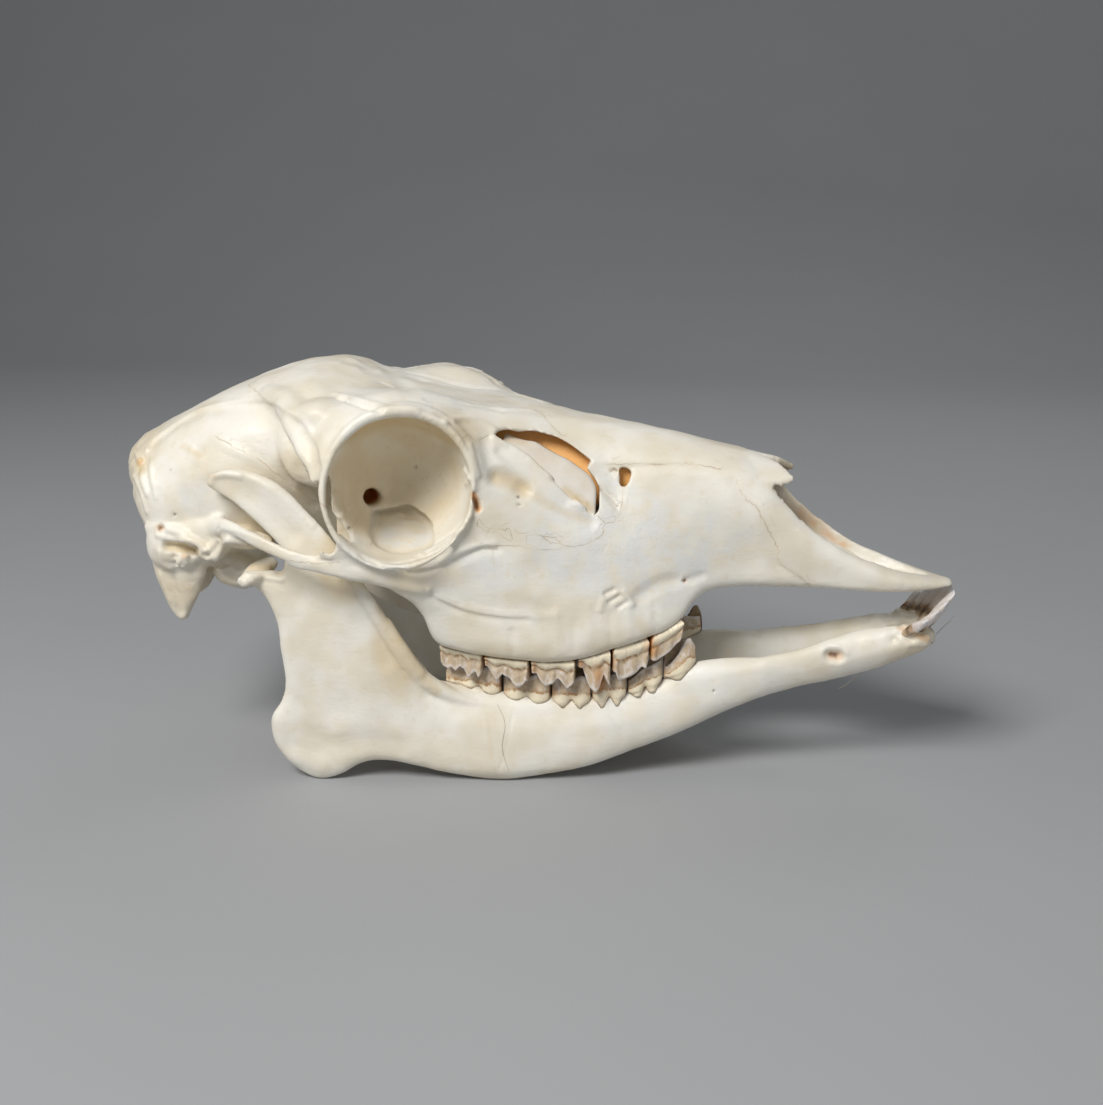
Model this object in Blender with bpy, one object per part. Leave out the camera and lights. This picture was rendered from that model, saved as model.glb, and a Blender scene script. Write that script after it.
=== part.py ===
"""Cleaned skull of an antlerless mule deer, with both halves of the lower jaw and all of its teeth.

The snout points along +X, the right side faces -Y and +Z is up. The skull rests on its lower jaw.
Sizes below are drawn in millimetres for a skull 263.6 mm long. MM turns them into metres at SKULL_LENGTH.
"""

import math

import bmesh
import bpy
from mathutils import Matrix, Vector

SKULL_LENGTH = 263.6
DRAWN_LENGTH = 263.6
MM = 0.001 * SKULL_LENGTH / DRAWN_LENGTH
FORWARD_SHIFT = 5.5
FUSE_VOXEL = 1.3
FINE_VOXEL = 0.95
RIGHT = -1
LEFT = 1

ORBIT_CENTRE = (-36.9, 46.0, 95.2)
ORBIT_RADIUS_LONG = 21.0
ORBIT_RADIUS_TALL = 21.5
ORBIT_TURN = math.radians(21.0)
ORBIT_LIP = 1.7

CRANIUM_FACES = 4000
MANDIBLE_FACES = 900
TOOTH_GAP = 0.35

# Half outlines of the braincase, from the midline at the top to the midline at the bottom.
BRAINCASE = {
    -137.2: [(0, 98.0), (4, 97.6), (6.5, 96.6), (7, 95.2), (6, 93.6), (3, 92.6), (0, 92.4)],
    -135.0: [(0, 100.8), (8, 100.2), (14, 97.5), (15.5, 94.0), (13, 90.0), (7, 87.5), (0, 87.0)],
    -131.5: [(0, 103.4), (12, 102.2), (21, 98.0), (23.5, 91.5), (20, 84.0), (10, 80.5), (0, 80.0)],
    -127.0: [(0, 106.0), (14, 104.6), (25.0, 99.5), (29.5, 90.0), (27, 79.0), (14, 73.0), (0, 72.0)],
    -122.5: [(0, 108.6), (15, 107.2), (26.0, 101.7), (32, 90.0), (31, 76.0), (19, 66.0), (0, 63.0)],
    -116.0: [(0, 112.0), (16, 110.3), (26.0, 105.0), (34, 92.0), (34, 76.0), (23, 64.0), (0, 60.0)],
    -108.0: [(0, 116.0), (17, 114.0), (26.0, 108.5), (35, 94.0), (34, 78.0), (23, 65.0), (0, 60.0)],
    -98.0: [(0, 120.5), (17, 118.3), (26.5, 112.5), (35.5, 97.0), (34, 80.0), (21, 67.0), (0, 61.0)],
    -88.0: [(0, 124.3), (18, 121.8), (27.0, 115.0), (34.5, 99.0), (32, 83.0), (19, 69.0), (0, 62.5)],
    -78.0: [(0, 127.2), (19, 124.3), (29.0, 117.0), (31.5, 101.0), (28, 85.0), (17, 71.0), (0, 64.0)],
    -70.0: [(0, 128.2), (22, 124.9), (33.0, 118.0), (27.5, 102.0), (23, 87.0), (15, 73.0), (0, 65.0)],
    -62.0: [(0, 127.0), (24, 122.5), (34.0, 116.0), (24.0, 103.0), (19, 88.0), (13, 74.0), (0, 66.0)],
    -55.0: [(0, 124.0), (18, 119.0), (24.0, 112.0), (18.0, 102.0), (15, 88.0), (11, 74.0), (0, 66.0)],
}

# Half outlines of the forehead, face and snout: top, trough, brow, orbit edge, side, cheek, crest, gum, palate.
FACE = {
    -60.0: [(0, 125.6), (15, 124.0), (29, 120.4), (44, 115.0), (54, 103.0), (54.8, 86.0), (50.8, 71.0),
            (17, 70.0), (0, 62.0)],
    -56.0: [(0, 124.4), (14, 122.8), (29, 120.2), (43.5, 117.2), (54, 105.0), (55.0, 88.0), (50.0, 70.0),
            (16, 66.0), (0, 57.0)],
    -50.0: [(0, 122.4), (14, 121.3), (28, 121.2), (41.5, 119.6), (52.0, 108.0), (52.8, 88.0), (47.8, 68.6),
            (15, 62.0), (0, 52.0)],
    -43.0: [(0, 120.0), (13, 119.4), (27, 122.4), (39.8, 120.8), (49.4, 109.0), (50.0, 88.0), (45.2, 66.0),
            (16, 59.0), (0, 50.0)],
    -37.0: [(0, 118.6), (13, 118.3), (26, 122.4), (40.0, 119.8), (47.8, 110.0), (47.2, 88.0), (42.2, 61.8),
            (22, 57.0), (0, 49.5)],
    -31.5: [(0, 117.7), (12.5, 117.5), (25, 120.8), (38.4, 118.4), (46.0, 110.5), (44.6, 88.0),
            (39.5, 59.8), (30.5, 45.5), (0, 49.5)],
    -26.0: [(0, 116.8), (12, 116.7), (24, 118.8), (35, 116.4), (42.8, 109.0), (42.6, 88.0), (37.8, 58.4),
            (31.8, 43.0), (0, 50.0)],
    -20.0: [(0, 116.0), (11.5, 115.9), (22, 116.2), (31, 113.6), (38.6, 105.5), (40.4, 88.0), (37.2, 58.4),
            (32.2, 41.8), (0, 50.2)],
    -14.0: [(0, 115.3), (11, 115.1), (20, 114.4), (27.5, 110.6), (34.4, 103.0), (37.6, 87.0), (36.7, 58.3),
            (32.4, 41.2), (0, 50.5)],
    -6.0: [(0, 114.2), (10, 113.8), (18, 112.3), (25, 107.5), (31, 98.0), (35.0, 82.0), (36.0, 57.5),
           (32.3, 40.4), (0, 50.5)],
    4.0: [(0, 112.4), (8.5, 111.9), (15.5, 109.8), (21.5, 104.5), (27.5, 94.0), (32.0, 80.0), (34.4, 56.8),
          (31.6, 40.0), (0, 50.0)],
    14.0: [(0, 110.8), (7.5, 110.3), (13.5, 107.8), (18.5, 102.0), (24.5, 91.0), (29.5, 77.0), (32.4, 57.0),
           (30.4, 41.2), (0, 50.0)],
    24.0: [(0, 109.2), (7, 108.5), (12.5, 105.8), (17, 100.0), (22, 89.0), (26.5, 75.0), (29.2, 59.0),
           (28.6, 44.0), (0, 51.0)],
    34.0: [(0, 107.3), (7, 106.5), (12.5, 103.8), (16.5, 98.5), (20.3, 88.0), (23.3, 75.0), (25.2, 61.5),
           (25.4, 46.8), (0, 53.6)],
    43.0: [(0, 105.5), (7, 104.7), (12.3, 102.2), (15.9, 97.7), (18.9, 88.0), (20.6, 77.0), (21.0, 65.5),
           (21.0, 51.2), (0, 56.6)],
    47.5: [(0, 104.6), (7, 103.8), (12.2, 101.5), (15.6, 97.1), (18.3, 88.0), (19.5, 77.5), (19.0, 66.5),
           (18.2, 57.4), (0, 58.0)],
    52.0: [(0, 103.7), (7, 102.9), (12, 100.7), (15.3, 96.5), (17.7, 88.0), (18.4, 78.0), (17.5, 68.0),
           (15.4, 60.4), (0, 58.8)],
    60.0: [(0, 102.0), (6.5, 101.3), (11.5, 99.3), (14.6, 95.5), (16.8, 87.5), (17.2, 79.0), (16.3, 70.0),
           (13.8, 61.8), (0, 59.8)],
    68.0: [(0, 96.5), (6, 96.2), (10.5, 95.0), (13.5, 92.0), (15.6, 86.0), (15.9, 79.0), (15.0, 70.0),
           (13.0, 62.2), (0, 60.0)],
    75.0: [(0, 87.6), (6, 87.6), (9.8, 87.4), (12.4, 86.2), (14.4, 82.0), (14.9, 76.0), (14.2, 69.0),
           (12.2, 62.0), (0, 60.0)],
    84.0: [(0, 79.4), (6, 79.4), (9.2, 79.2), (11.4, 78.4), (13.0, 75.6), (13.6, 71.8), (13.2, 67.0),
           (11.8, 61.6), (0, 60.0)],
    94.0: [(0, 72.8), (6, 72.8), (9.0, 72.6), (11.2, 72.0), (12.4, 70.4), (12.8, 68.4), (12.6, 65.2),
           (11.4, 61.4), (0, 60.3)],
    104.0: [(0, 68.2), (5, 68.2), (8.4, 68.1), (10.4, 67.6), (11.8, 66.6), (12.2, 65.2), (11.8, 63.2),
            (10.4, 61.2), (0, 60.6)],
    113.0: [(0, 65.6), (3, 65.6), (5.6, 65.5), (7.8, 65.1), (9.4, 64.4), (9.9, 63.4), (9.4, 62.2),
            (8.0, 61.0), (0, 60.8)],
    120.0: [(0, 64.2), (2, 64.2), (3.8, 64.1), (5.4, 63.8), (6.6, 63.2), (7.0, 62.5), (6.6, 61.7),
            (5.4, 61.0), (0, 60.8)],
    125.5: [(0, 63.2), (1.0, 63.2), (2.0, 63.1), (2.8, 62.9), (3.3, 62.6), (3.5, 62.2), (3.2, 61.8),
            (2.4, 61.5), (0, 61.4)],
}

# Where the preorbital opening of each cheek lies, seen from the side.
PREORBITAL_OPENING = [
    (-13.5, 107.6), (-8.0, 109.0), (0.0, 108.6), (6.0, 106.8), (13.0, 103.2), (19.0, 100.2),
    (27.0, 98.4), (26.0, 92.0), (24.5, 84.5), (17.0, 85.6), (12.0, 89.6), (4.0, 95.6), (-5.0, 102.5),
]

# The side outline of one jaw half, round from the chin along the belly to the angle and back over the top.
JAW_OUTLINE = [
    (120.5, 45.2), (116.0, 41.0), (108.0, 37.2), (98.0, 33.3), (88.0, 30.6), (78.0, 28.6), (67.0, 25.2),
    (56.0, 20.6), (45.0, 15.4), (34.0, 10.4), (22.0, 6.4), (11.0, 3.0), (0.0, 0.9), (-10.0, 0.0),
    (-20.0, 0.6), (-30.0, 2.6), (-40.0, 5.2), (-48.0, 6.4), (-54.5, 5.6), (-59.5, 2.2), (-65.0, 0.1),
    (-70.0, 0.4), (-75.5, 4.0), (-79.0, 8.6), (-81.2, 14.0), (-81.4, 20.0), (-78.3, 26.4), (-76.9, 33.0),
    (-77.6, 42.0), (-78.2, 50.0), (-80.6, 57.2), (-84.0, 61.5), (-88.0, 64.6), (-87.5, 68.2), (-82.0, 68.4),
    (-77.6, 67.6), (-75.4, 70.6), (-77.0, 75.0), (-81.5, 79.8), (-87.0, 84.8), (-92.5, 89.4), (-98.0, 92.6),
    (-98.4, 96.0), (-93.0, 98.2), (-86.0, 97.8), (-78.5, 95.0), (-71.5, 89.8), (-64.8, 82.4), (-58.5, 74.0),
    (-53.0, 65.4), (-48.2, 56.8), (-43.2, 48.4), (-39.0, 41.6), (-35.0, 36.0), (-31.0, 31.2), (-20.0, 28.8),
    (-8.0, 27.2), (6.0, 26.6), (20.0, 26.9), (31.0, 29.2), (40.0, 32.9), (48.0, 37.2), (56.0, 38.6),
    (67.0, 39.6), (78.0, 41.4), (89.0, 44.6), (99.0, 47.8), (108.0, 49.3), (114.5, 50.2), (119.5, 49.6),
]
JAW_SIDE = [
    (-100.0, 41.5), (-80.0, 40.0), (-60.0, 38.3), (-40.0, 34.5), (-20.0, 30.2), (0.0, 26.8), (20.0, 23.6),
    (35.0, 20.8), (50.0, 18.0), (65.0, 14.6), (77.0, 11.4), (88.0, 8.4), (97.0, 6.6), (108.0, 6.0), (121.0, 6.2),
]

# The outer face of each tooth row, as places along the skull and distances from its middle.
UPPER_ROW = [(-31.0, 30.9), (-16.0, 31.7), (-2.0, 31.6), (12.0, 30.4), (23.0, 28.2), (35.0, 24.3), (46.0, 20.2)]
LOWER_ROW = [(-30.0, 27.2), (-10.0, 27.6), (5.0, 27.0), (17.0, 25.6), (28.0, 23.3), (39.0, 20.7), (50.0, 18.4)]

# Cheek teeth: rear and front end, width, gum height at the rear and front, tip height, number of lobes.
UPPER_TEETH = {
    "M3": (-29.9, -16.5, 14.0, 42.6, 41.2, 32.2, 2),
    "M2": (-16.0, -2.0, 15.0, 41.2, 40.2, 30.9, 2),
    "M1": (-1.5, 12.3, 14.4, 40.0, 40.8, 30.4, 2),
    "P4": (12.9, 23.0, 12.6, 41.4, 44.0, 30.9, 1),
    "P3": (23.5, 34.5, 11.0, 43.9, 46.8, 36.4, 1),
    "P2": (35.0, 45.2, 9.0, 47.0, 51.6, 42.4, 1),
}
LOWER_TEETH = {
    "M3": (-28.8, -10.6, 8.8, 30.0, 27.6, 33.8, 3),
    "M2": (-10.2, 4.4, 9.4, 27.2, 26.6, 32.6, 2),
    "M1": (4.8, 16.8, 9.0, 26.6, 27.0, 32.1, 2),
    "P4": (17.2, 27.8, 8.0, 27.0, 28.6, 32.8, 1),
    "P3": (28.2, 38.6, 6.8, 29.0, 33.0, 36.6, 1),
    "P2": (39.0, 48.8, 5.6, 33.0, 37.6, 41.2, 1),
}

# Front teeth of one side: root (x, y, z), tip (x, y, z), crown width.
FRONT_TEETH = {
    "incisor_1": ((114.6, 3.0, 43.8), (126.0, 3.8, 60.3), 5.0),
    "incisor_2": ((113.2, 5.2, 44.2), (123.6, 8.9, 58.6), 4.0),
    "incisor_3": ((111.5, 7.0, 45.0), (120.6, 12.6, 56.4), 3.2),
    "canine": ((109.5, 8.0, 46.0), (117.2, 15.4, 54.2), 2.6),
}


def point(x, y, z):
    """A point in metres, from millimetres measured from the middle of the skull."""
    return Vector(((x + FORWARD_SHIFT) * MM, y * MM, z * MM))


def clear_scene():
    for old in list(bpy.data.objects):
        bpy.data.objects.remove(old, do_unlink=True)


def blended(values, along, at):
    """The value at a place along a row of knots, straight between them."""
    if at <= along[0]:
        return values[0]
    for index in range(len(along) - 1):
        if at <= along[index + 1]:
            share = (at - along[index]) / (along[index + 1] - along[index])
            return values[index] + (values[index + 1] - values[index]) * share
    return values[-1]


def smooth_row(rows, spans, closed=False):
    """More rows of numbers between the given ones, on a Catmull-Rom curve through them."""
    count = len(rows)
    last = count if closed else count - 1
    result = []
    for index in range(last):
        if closed:
            p0, p1, p2, p3 = (rows[(index + k) % count] for k in (-1, 0, 1, 2))
        else:
            p0, p1, p2, p3 = (rows[min(max(index + k, 0), count - 1)] for k in (-1, 0, 1, 2))
        for step in range(spans):
            t = step / spans
            row = []
            for a, b, c, d in zip(p0, p1, p2, p3):
                row.append(0.5 * (2 * b + (c - a) * t + (2 * a - 5 * b + 4 * c - d) * t * t
                                  + (3 * b - a - 3 * c + d) * t * t * t))
            result.append(row)
    if not closed:
        result.append(list(rows[-1]))
    return result


def object_from(name, mesh_data):
    mesh = bpy.data.meshes.new(name)
    mesh_data.to_mesh(mesh)
    mesh_data.free()
    made = bpy.data.objects.new(name, mesh)
    bpy.context.scene.collection.objects.link(made)
    return made


def loft(name, rings):
    """A closed skin over a row of rings that all have the same number of points."""
    shape = bmesh.new()
    loops = []
    for ring in rings:
        corners = [shape.verts.new(place) for place in ring]
        loops.append([shape.edges.new((corners[i - 1], corners[i])) for i in range(len(corners))])
    for first, second in zip(loops, loops[1:]):
        bmesh.ops.bridge_loops(shape, edges=first + second)
    for end in (loops[0], loops[-1]):
        bmesh.ops.contextual_create(shape, geom=end)
    bmesh.ops.recalc_face_normals(shape, faces=shape.faces[:])
    return object_from(name, shape)


def ring_from_half(x, half, spans):
    """A closed ring across the skull at x, from its half outline."""
    mirrored = [(-y, z) for y, z in reversed(half[1:-1])]
    outline = smooth_row(list(half) + mirrored, spans, closed=True)
    return [point(x, y, z) for y, z in outline]


def loft_sections(name, sections, spans=4):
    """A skin through half outlines that are given by their place along the skull."""
    flat = [[x] + [value for pair in half for value in pair] for x, half in sorted(sections.items())]
    rings = []
    for row in smooth_row(flat, spans):
        half = list(zip(row[1::2], row[2::2]))
        rings.append(ring_from_half(row[0], half, spans))
    return loft(name, rings)


def tube(name, stations, up=(0.0, 0.0, 1.0), sides=20, spans=6, closed=False):
    """A tube along (x, y, z, radius_across, radius_up) stations, with oval cross sections."""
    rows = smooth_row(stations, spans, closed)
    centres = [point(*row[:3]) for row in rows]
    upward = Vector(up)
    rings = []
    count = len(rows)
    for index, row in enumerate(rows):
        if closed:
            ahead = centres[(index + 1) % count] - centres[index - 1]
        else:
            ahead = centres[min(index + 1, count - 1)] - centres[max(index - 1, 0)]
        ahead.normalize()
        across = ahead.cross(upward).normalized()
        over = across.cross(ahead)
        ring = []
        for step in range(sides):
            turn = 2 * math.pi * step / sides
            sideways = across * (math.cos(turn) * row[3] * MM)
            ring.append(centres[index] + sideways + over * (math.sin(turn) * row[4] * MM))
        rings.append(ring)
    if not closed:
        return loft(name, rings)
    shape = bmesh.new()
    loops = []
    for ring in rings:
        corners = [shape.verts.new(place) for place in ring]
        loops.append([shape.edges.new((corners[i - 1], corners[i])) for i in range(sides)])
    for first, second in zip(loops, loops[1:] + loops[:1]):
        bmesh.ops.bridge_loops(shape, edges=first + second)
    bmesh.ops.recalc_face_normals(shape, faces=shape.faces[:])
    return object_from(name, shape)


def ball(name, centre, radii, turn=(0.0, 0.0, 0.0)):
    """An oval ball with three radii, turned by angles in degrees."""
    shape = bmesh.new()
    bmesh.ops.create_icosphere(shape, subdivisions=4, radius=1.0)
    rotation = Matrix.Identity(4)
    for angle, axis in zip(turn, "XYZ"):
        rotation = Matrix.Rotation(math.radians(angle), 4, axis) @ rotation
    place = Matrix.Translation(point(*centre)) @ rotation @ Matrix.Diagonal((*(r * MM for r in radii), 1.0))
    bmesh.ops.transform(shape, matrix=place, verts=shape.verts[:])
    return object_from(name, shape)


def slab(name, outline, side, half_thickness, spans=3):
    """A flat plate with a rounded side outline, standing along the skull at side."""
    rows = smooth_row(outline, spans, closed=True)
    shape = bmesh.new()
    corners = [shape.verts.new(point(x, side - half_thickness, z)) for x, z in rows]
    face = shape.faces.new(corners)
    made = bmesh.ops.extrude_face_region(shape, geom=[face])
    moved = [item for item in made["geom"] if isinstance(item, bmesh.types.BMVert)]
    bmesh.ops.translate(shape, vec=Vector((0.0, 2 * half_thickness * MM, 0.0)), verts=moved)
    bmesh.ops.recalc_face_normals(shape, faces=shape.faces[:])
    return object_from(name, shape)


def settle(made):
    """Applies an object's modifiers to its mesh."""
    graph = bpy.context.evaluated_depsgraph_get()
    graph.update()
    fresh = bpy.data.meshes.new_from_object(made.evaluated_get(graph))
    made.modifiers.clear()
    old = made.data
    made.data = fresh
    bpy.data.meshes.remove(old)
    return made


def join(name, pieces):
    """All pieces as one mesh, their skins still separate."""
    shape = bmesh.new()
    for piece in pieces:
        shape.from_mesh(piece.data)
        bpy.data.objects.remove(piece, do_unlink=True)
    return object_from(name, shape)


def fuse(name, pieces, voxel, rounds, factor=0.5):
    """One skin round all pieces, with their joints rounded off."""
    made = join(name, pieces)
    remesh = made.modifiers.new("One skin", "REMESH")
    remesh.mode = "VOXEL"
    remesh.voxel_size = voxel * MM
    settle(made)
    if rounds:
        smooth = made.modifiers.new("Round off", "SMOOTH")
        smooth.factor = factor
        smooth.iterations = rounds
        settle(made)
    return made


def carve(made, cutters, voxel=FINE_VOXEL):
    """Cuts the cutters, fused into one, out of an object."""
    tool = fuse("cutter", cutters, voxel, 2)
    cut = made.modifiers.new("Carve", "BOOLEAN")
    cut.operation = "DIFFERENCE"
    cut.solver = "EXACT"
    cut.object = tool
    settle(made)
    bpy.data.objects.remove(tool, do_unlink=True)
    return made


def keep_largest(made):
    """Drops loose crumbs that a cut has left."""
    shape = bmesh.new()
    shape.from_mesh(made.data)
    seen = set()
    groups = []
    for start in shape.verts:
        if start in seen:
            continue
        group = [start]
        seen.add(start)
        for vertex in group:
            for edge in vertex.link_edges:
                other = edge.other_vert(vertex)
                if other not in seen:
                    seen.add(other)
                    group.append(other)
        groups.append(group)
    groups.sort(key=len)
    for group in groups[:-1]:
        bmesh.ops.delete(shape, geom=group, context="VERTS")
    shape.to_mesh(made.data)
    shape.free()
    return made


def thin_out(made, faces):
    """Lowers the number of triangles to about the given one."""
    now = sum(len(face.vertices) - 2 for face in made.data.polygons)
    decimate = made.modifiers.new("Thin out", "DECIMATE")
    decimate.ratio = faces / now
    decimate.use_collapse_triangulate = True
    return settle(made)


def orbit_ring(grow, out):
    """Stations round the rim of one orbit, on the right, grown by a width and set out along its axis."""
    x, y, z = ORBIT_CENTRE
    stations = []
    for step in range(28):
        turn = 2 * math.pi * step / 28
        along = math.cos(turn) * (ORBIT_RADIUS_LONG + grow)
        tilt = 2.2 * math.sin(turn)
        stations.append((
            x + along * math.cos(ORBIT_TURN) + out * math.sin(ORBIT_TURN),
            -(y - tilt + out * math.cos(ORBIT_TURN)) + along * math.sin(ORBIT_TURN),
            z + math.sin(turn) * (ORBIT_RADIUS_TALL + grow),
        ))
    return stations


def orbit_cutter(side):
    x, y, z = ORBIT_CENTRE
    stations = [
        (x + 6.0, y + 15.0, z + 0.5, 23.0, 24.5),
        (x + 2.2, y + 5.5, z + 0.2, 21.6, 22.2),
        (x, y, z, ORBIT_RADIUS_LONG, ORBIT_RADIUS_TALL),
        (x - 2.6, y - 7.0, z - 0.2, 20.6, 20.8),
        (x - 6.0, y - 15.0, z - 0.8, 18.2, 18.4),
        (x - 9.5, y - 23.0, z - 2.2, 13.5, 14.4),
        (x - 12.0, y - 29.0, z - 3.5, 8.0, 9.0),
        (x - 13.5, y - 32.0, z - 4.2, 3.0, 4.0),
    ]
    return tube("orbit", [(a, side * b, c, r, s) for a, b, c, r, s in stations], sides=36)


def mirrored(stations, side):
    return [(row[0], side * row[1], *row[2:]) for row in stations]


def make_bulk():
    """The braincase, face, condyles and ear region, as one rounded mass."""
    pieces = [loft_sections("braincase", BRAINCASE), loft_sections("face", FACE)]
    for side in (RIGHT, LEFT):
        pieces.append(ball("condyle", (-116.5, side * 13.0, 61.5), (8.0, 7.5, 12.0), (side * 24.0, 14.0, 0.0)))
        pieces.append(ball("mastoid", (-115.0, side * 29.5, 72.0), (9.5, 7.5, 9.5)))
        pieces.append(ball("bulla", (-97.0, side * 21.5, 63.0), (9.5, 7.0, 7.0)))
        pieces.append(ball("joint shelf", (-88.0, side * 35.5, 75.8), (8.0, 11.0, 3.0), (side * 14.0, 0.0, 0.0)))
        wing = [(-84.0, 22.0, 118.0, 4.0, 4.0), (-77.0, 28.5, 117.4, 5.0, 4.4), (-71.0, 35.0, 115.0, 6.0, 4.6),
                (-66.0, 41.5, 111.0, 6.4, 4.4), (-62.0, 47.5, 105.2, 5.0, 3.4), (-59.4, 51.4, 98.4, 3.0, 2.4)]
        pieces.append(tube("wing", mirrored(wing, side)))
        pieces.append(ball("brow corner", (-62.0, side * 37.0, 115.4), (8.0, 8.0, 4.6)))
        turn = (side * 24.0, 0.0, side * -38.0)
        pieces.append(ball("temple wall", (-70.0, side * 29.0, 104.0), (9.0, 6.0, 13.0), turn))
    return fuse("cranium", pieces, FUSE_VOXEL, 6)


def bulk_cutters():
    """The orbits, the passages behind them, the nose, the cheek openings and the holes underneath."""
    cutters = []
    for side in (RIGHT, LEFT):
        cutters.append(orbit_cutter(side))
        passage = [(-78.0, 46.0, 89.0, 4.0, 7.0), (-72.0, 46.4, 88.0, 5.0, 9.6), (-66.0, 46.6, 87.0, 5.4, 11.0),
                   (-60.5, 45.8, 86.6, 5.4, 11.0), (-54.0, 43.6, 87.0, 4.6, 9.5)]
        cutters.append(tube("passage", mirrored(passage, side), sides=28))
        under = [(-74.0, 34.0, 61.0, 17.0, 9.0), (-58.0, 33.0, 58.5, 16.0, 9.5), (-46.0, 31.0, 54.0, 13.0, 8.0),
                 (-39.0, 30.0, 50.0, 8.0, 6.0)]
        cutters.append(tube("under orbit", mirrored(under, side), sides=28))
        blade = [(-86.0, 58.0), (-50.0, 57.0), (-46.5, 64.0), (-52.0, 74.0), (-58.5, 84.0), (-68.0, 94.0),
                 (-80.0, 101.0), (-96.0, 102.0), (-103.0, 97.0), (-100.0, 89.0), (-90.0, 79.0)]
        cutters.append(slab("blade room", blade, side * 38.4, 5.4))
        cutters.append(slab("opening", PREORBITAL_OPENING, side * 30.0, 20.0))
        optic = [(-52.0, 22.0, 87.0, 2.4, 2.0), (-57.0, 12.0, 85.8, 2.4, 2.0), (-61.0, 4.0, 85.0, 2.4, 2.0)]
        cutters.append(tube("optic", mirrored(optic, side), sides=16))
    nose = {
        -16.0: [(0, 100.0), (4, 99.0), (7, 94.0), (8, 86.0), (7, 78.0), (4, 74.0), (0, 73.0)],
        -6.0: [(0, 107.0), (8, 106.0), (14, 99.0), (17, 88.0), (16, 76.0), (9, 68.0), (0, 66.0)],
        10.0: [(0, 106.0), (8, 105.0), (14, 98.0), (19, 87.0), (18, 75.0), (10, 66.0), (0, 64.0)],
        30.0: [(0, 103.5), (8, 102.0), (13, 96.0), (16, 86.0), (15, 75.0), (9, 66.0), (0, 64.0)],
        50.0: [(0, 100.5), (7, 99.0), (11, 94.0), (13, 85.0), (13, 75.0), (8, 66.0), (0, 64.0)],
        64.0: [(0, 99.0), (6.5, 98.0), (10.5, 93.0), (12.3, 84.0), (12, 75.0), (8, 66.0), (0, 64.0)],
        72.0: [(0, 104.0), (7, 104.0), (11.0, 96.0), (11.6, 83.0), (11, 73.0), (8, 66.0), (0, 64.0)],
        82.0: [(0, 100.0), (7, 100.0), (10.4, 90.0), (10.4, 80.0), (9.8, 72.0), (7, 65.5), (0, 64.0)],
        96.0: [(0, 92.0), (6, 92.0), (8.8, 84.0), (9.0, 76.0), (8.4, 69.0), (6, 64.5), (0, 63.4)],
        106.0: [(0, 86.0), (5, 86.0), (6.8, 80.0), (7.0, 73.0), (6.6, 67.5), (5, 64.2), (0, 63.2)],
        113.0: [(0, 82.0), (2.5, 82.0), (4.0, 78.0), (4.2, 72.0), (3.8, 66.5), (2.5, 63.8), (0, 63.2)],
        118.0: [(0, 80.0), (0.8, 80.0), (1.4, 76.0), (1.5, 71.0), (1.4, 67.0), (0.9, 64.6), (0, 64.2)],
    }
    cutters.append(loft_sections("nose", nose))
    throat = {
        -78.0: [(0, 60.0), (3, 59.0), (5, 55.0), (5, 50.0), (5, 42.0), (3, 38.0), (0, 37.0)],
        -68.0: [(0, 66.0), (6, 64.0), (9.5, 58.0), (10, 50.0), (10, 42.0), (6, 38.0), (0, 37.0)],
        -52.0: [(0, 65.0), (6, 63.0), (9.5, 57.0), (10, 50.0), (10, 42.0), (6, 38.0), (0, 37.0)],
        -36.0: [(0, 62.0), (6, 60.0), (9.5, 55.0), (10, 49.0), (10, 42.0), (6, 38.0), (0, 37.0)],
        -28.0: [(0, 56.0), (4, 55.0), (6, 52.0), (7, 48.0), (7, 42.0), (4, 38.0), (0, 37.0)],
    }
    cutters.append(loft_sections("throat", throat))
    magnum = [(-140.0, 0.0, 69.0, 11.5, 10.5), (-126.0, 0.0, 70.5, 10.2, 9.6), (-116.0, 0.0, 73.0, 10.0, 10.0),
              (-104.0, 0.0, 80.0, 14.0, 14.0), (-94.0, 0.0, 86.0, 9.0, 9.0)]
    cutters.append(tube("magnum", magnum, sides=28))
    return cutters


def nasal_shell(side):
    """The free front end of one nasal bone, cut off aslant with its point outwards."""
    stations = [
        (46.0, [(0.2, 104.7), (5.0, 104.0), (10.0, 101.6), (14.6, 97.6)]),
        (55.0, [(0.2, 103.0), (5.0, 102.4), (9.6, 100.2), (14.0, 96.6)]),
        (62.0, [(0.2, 101.4), (5.0, 100.8), (9.4, 98.8), (13.4, 95.4)]),
        (67.0, [(0.6, 100.2), (5.2, 99.5), (9.2, 97.8), (12.8, 94.8)]),
        (71.0, [(3.6, 98.8), (6.6, 98.2), (9.4, 97.0), (12.0, 94.8)]),
        (74.0, [(7.4, 97.0), (8.6, 96.7), (9.8, 96.2), (11.0, 95.2)]),
        (75.6, [(9.4, 96.0), (9.8, 95.9), (10.2, 95.7), (10.6, 95.4)]),
    ]
    thick = 1.7
    rings = []
    for x, arc in stations:
        outer = smooth_row(arc, 3)
        inner = [(y, z - thick) for y, z in reversed(outer)]
        rings.append([point(x, side * y, z) for y, z in outer + inner])
    return loft("nasal tip", rings)


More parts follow.
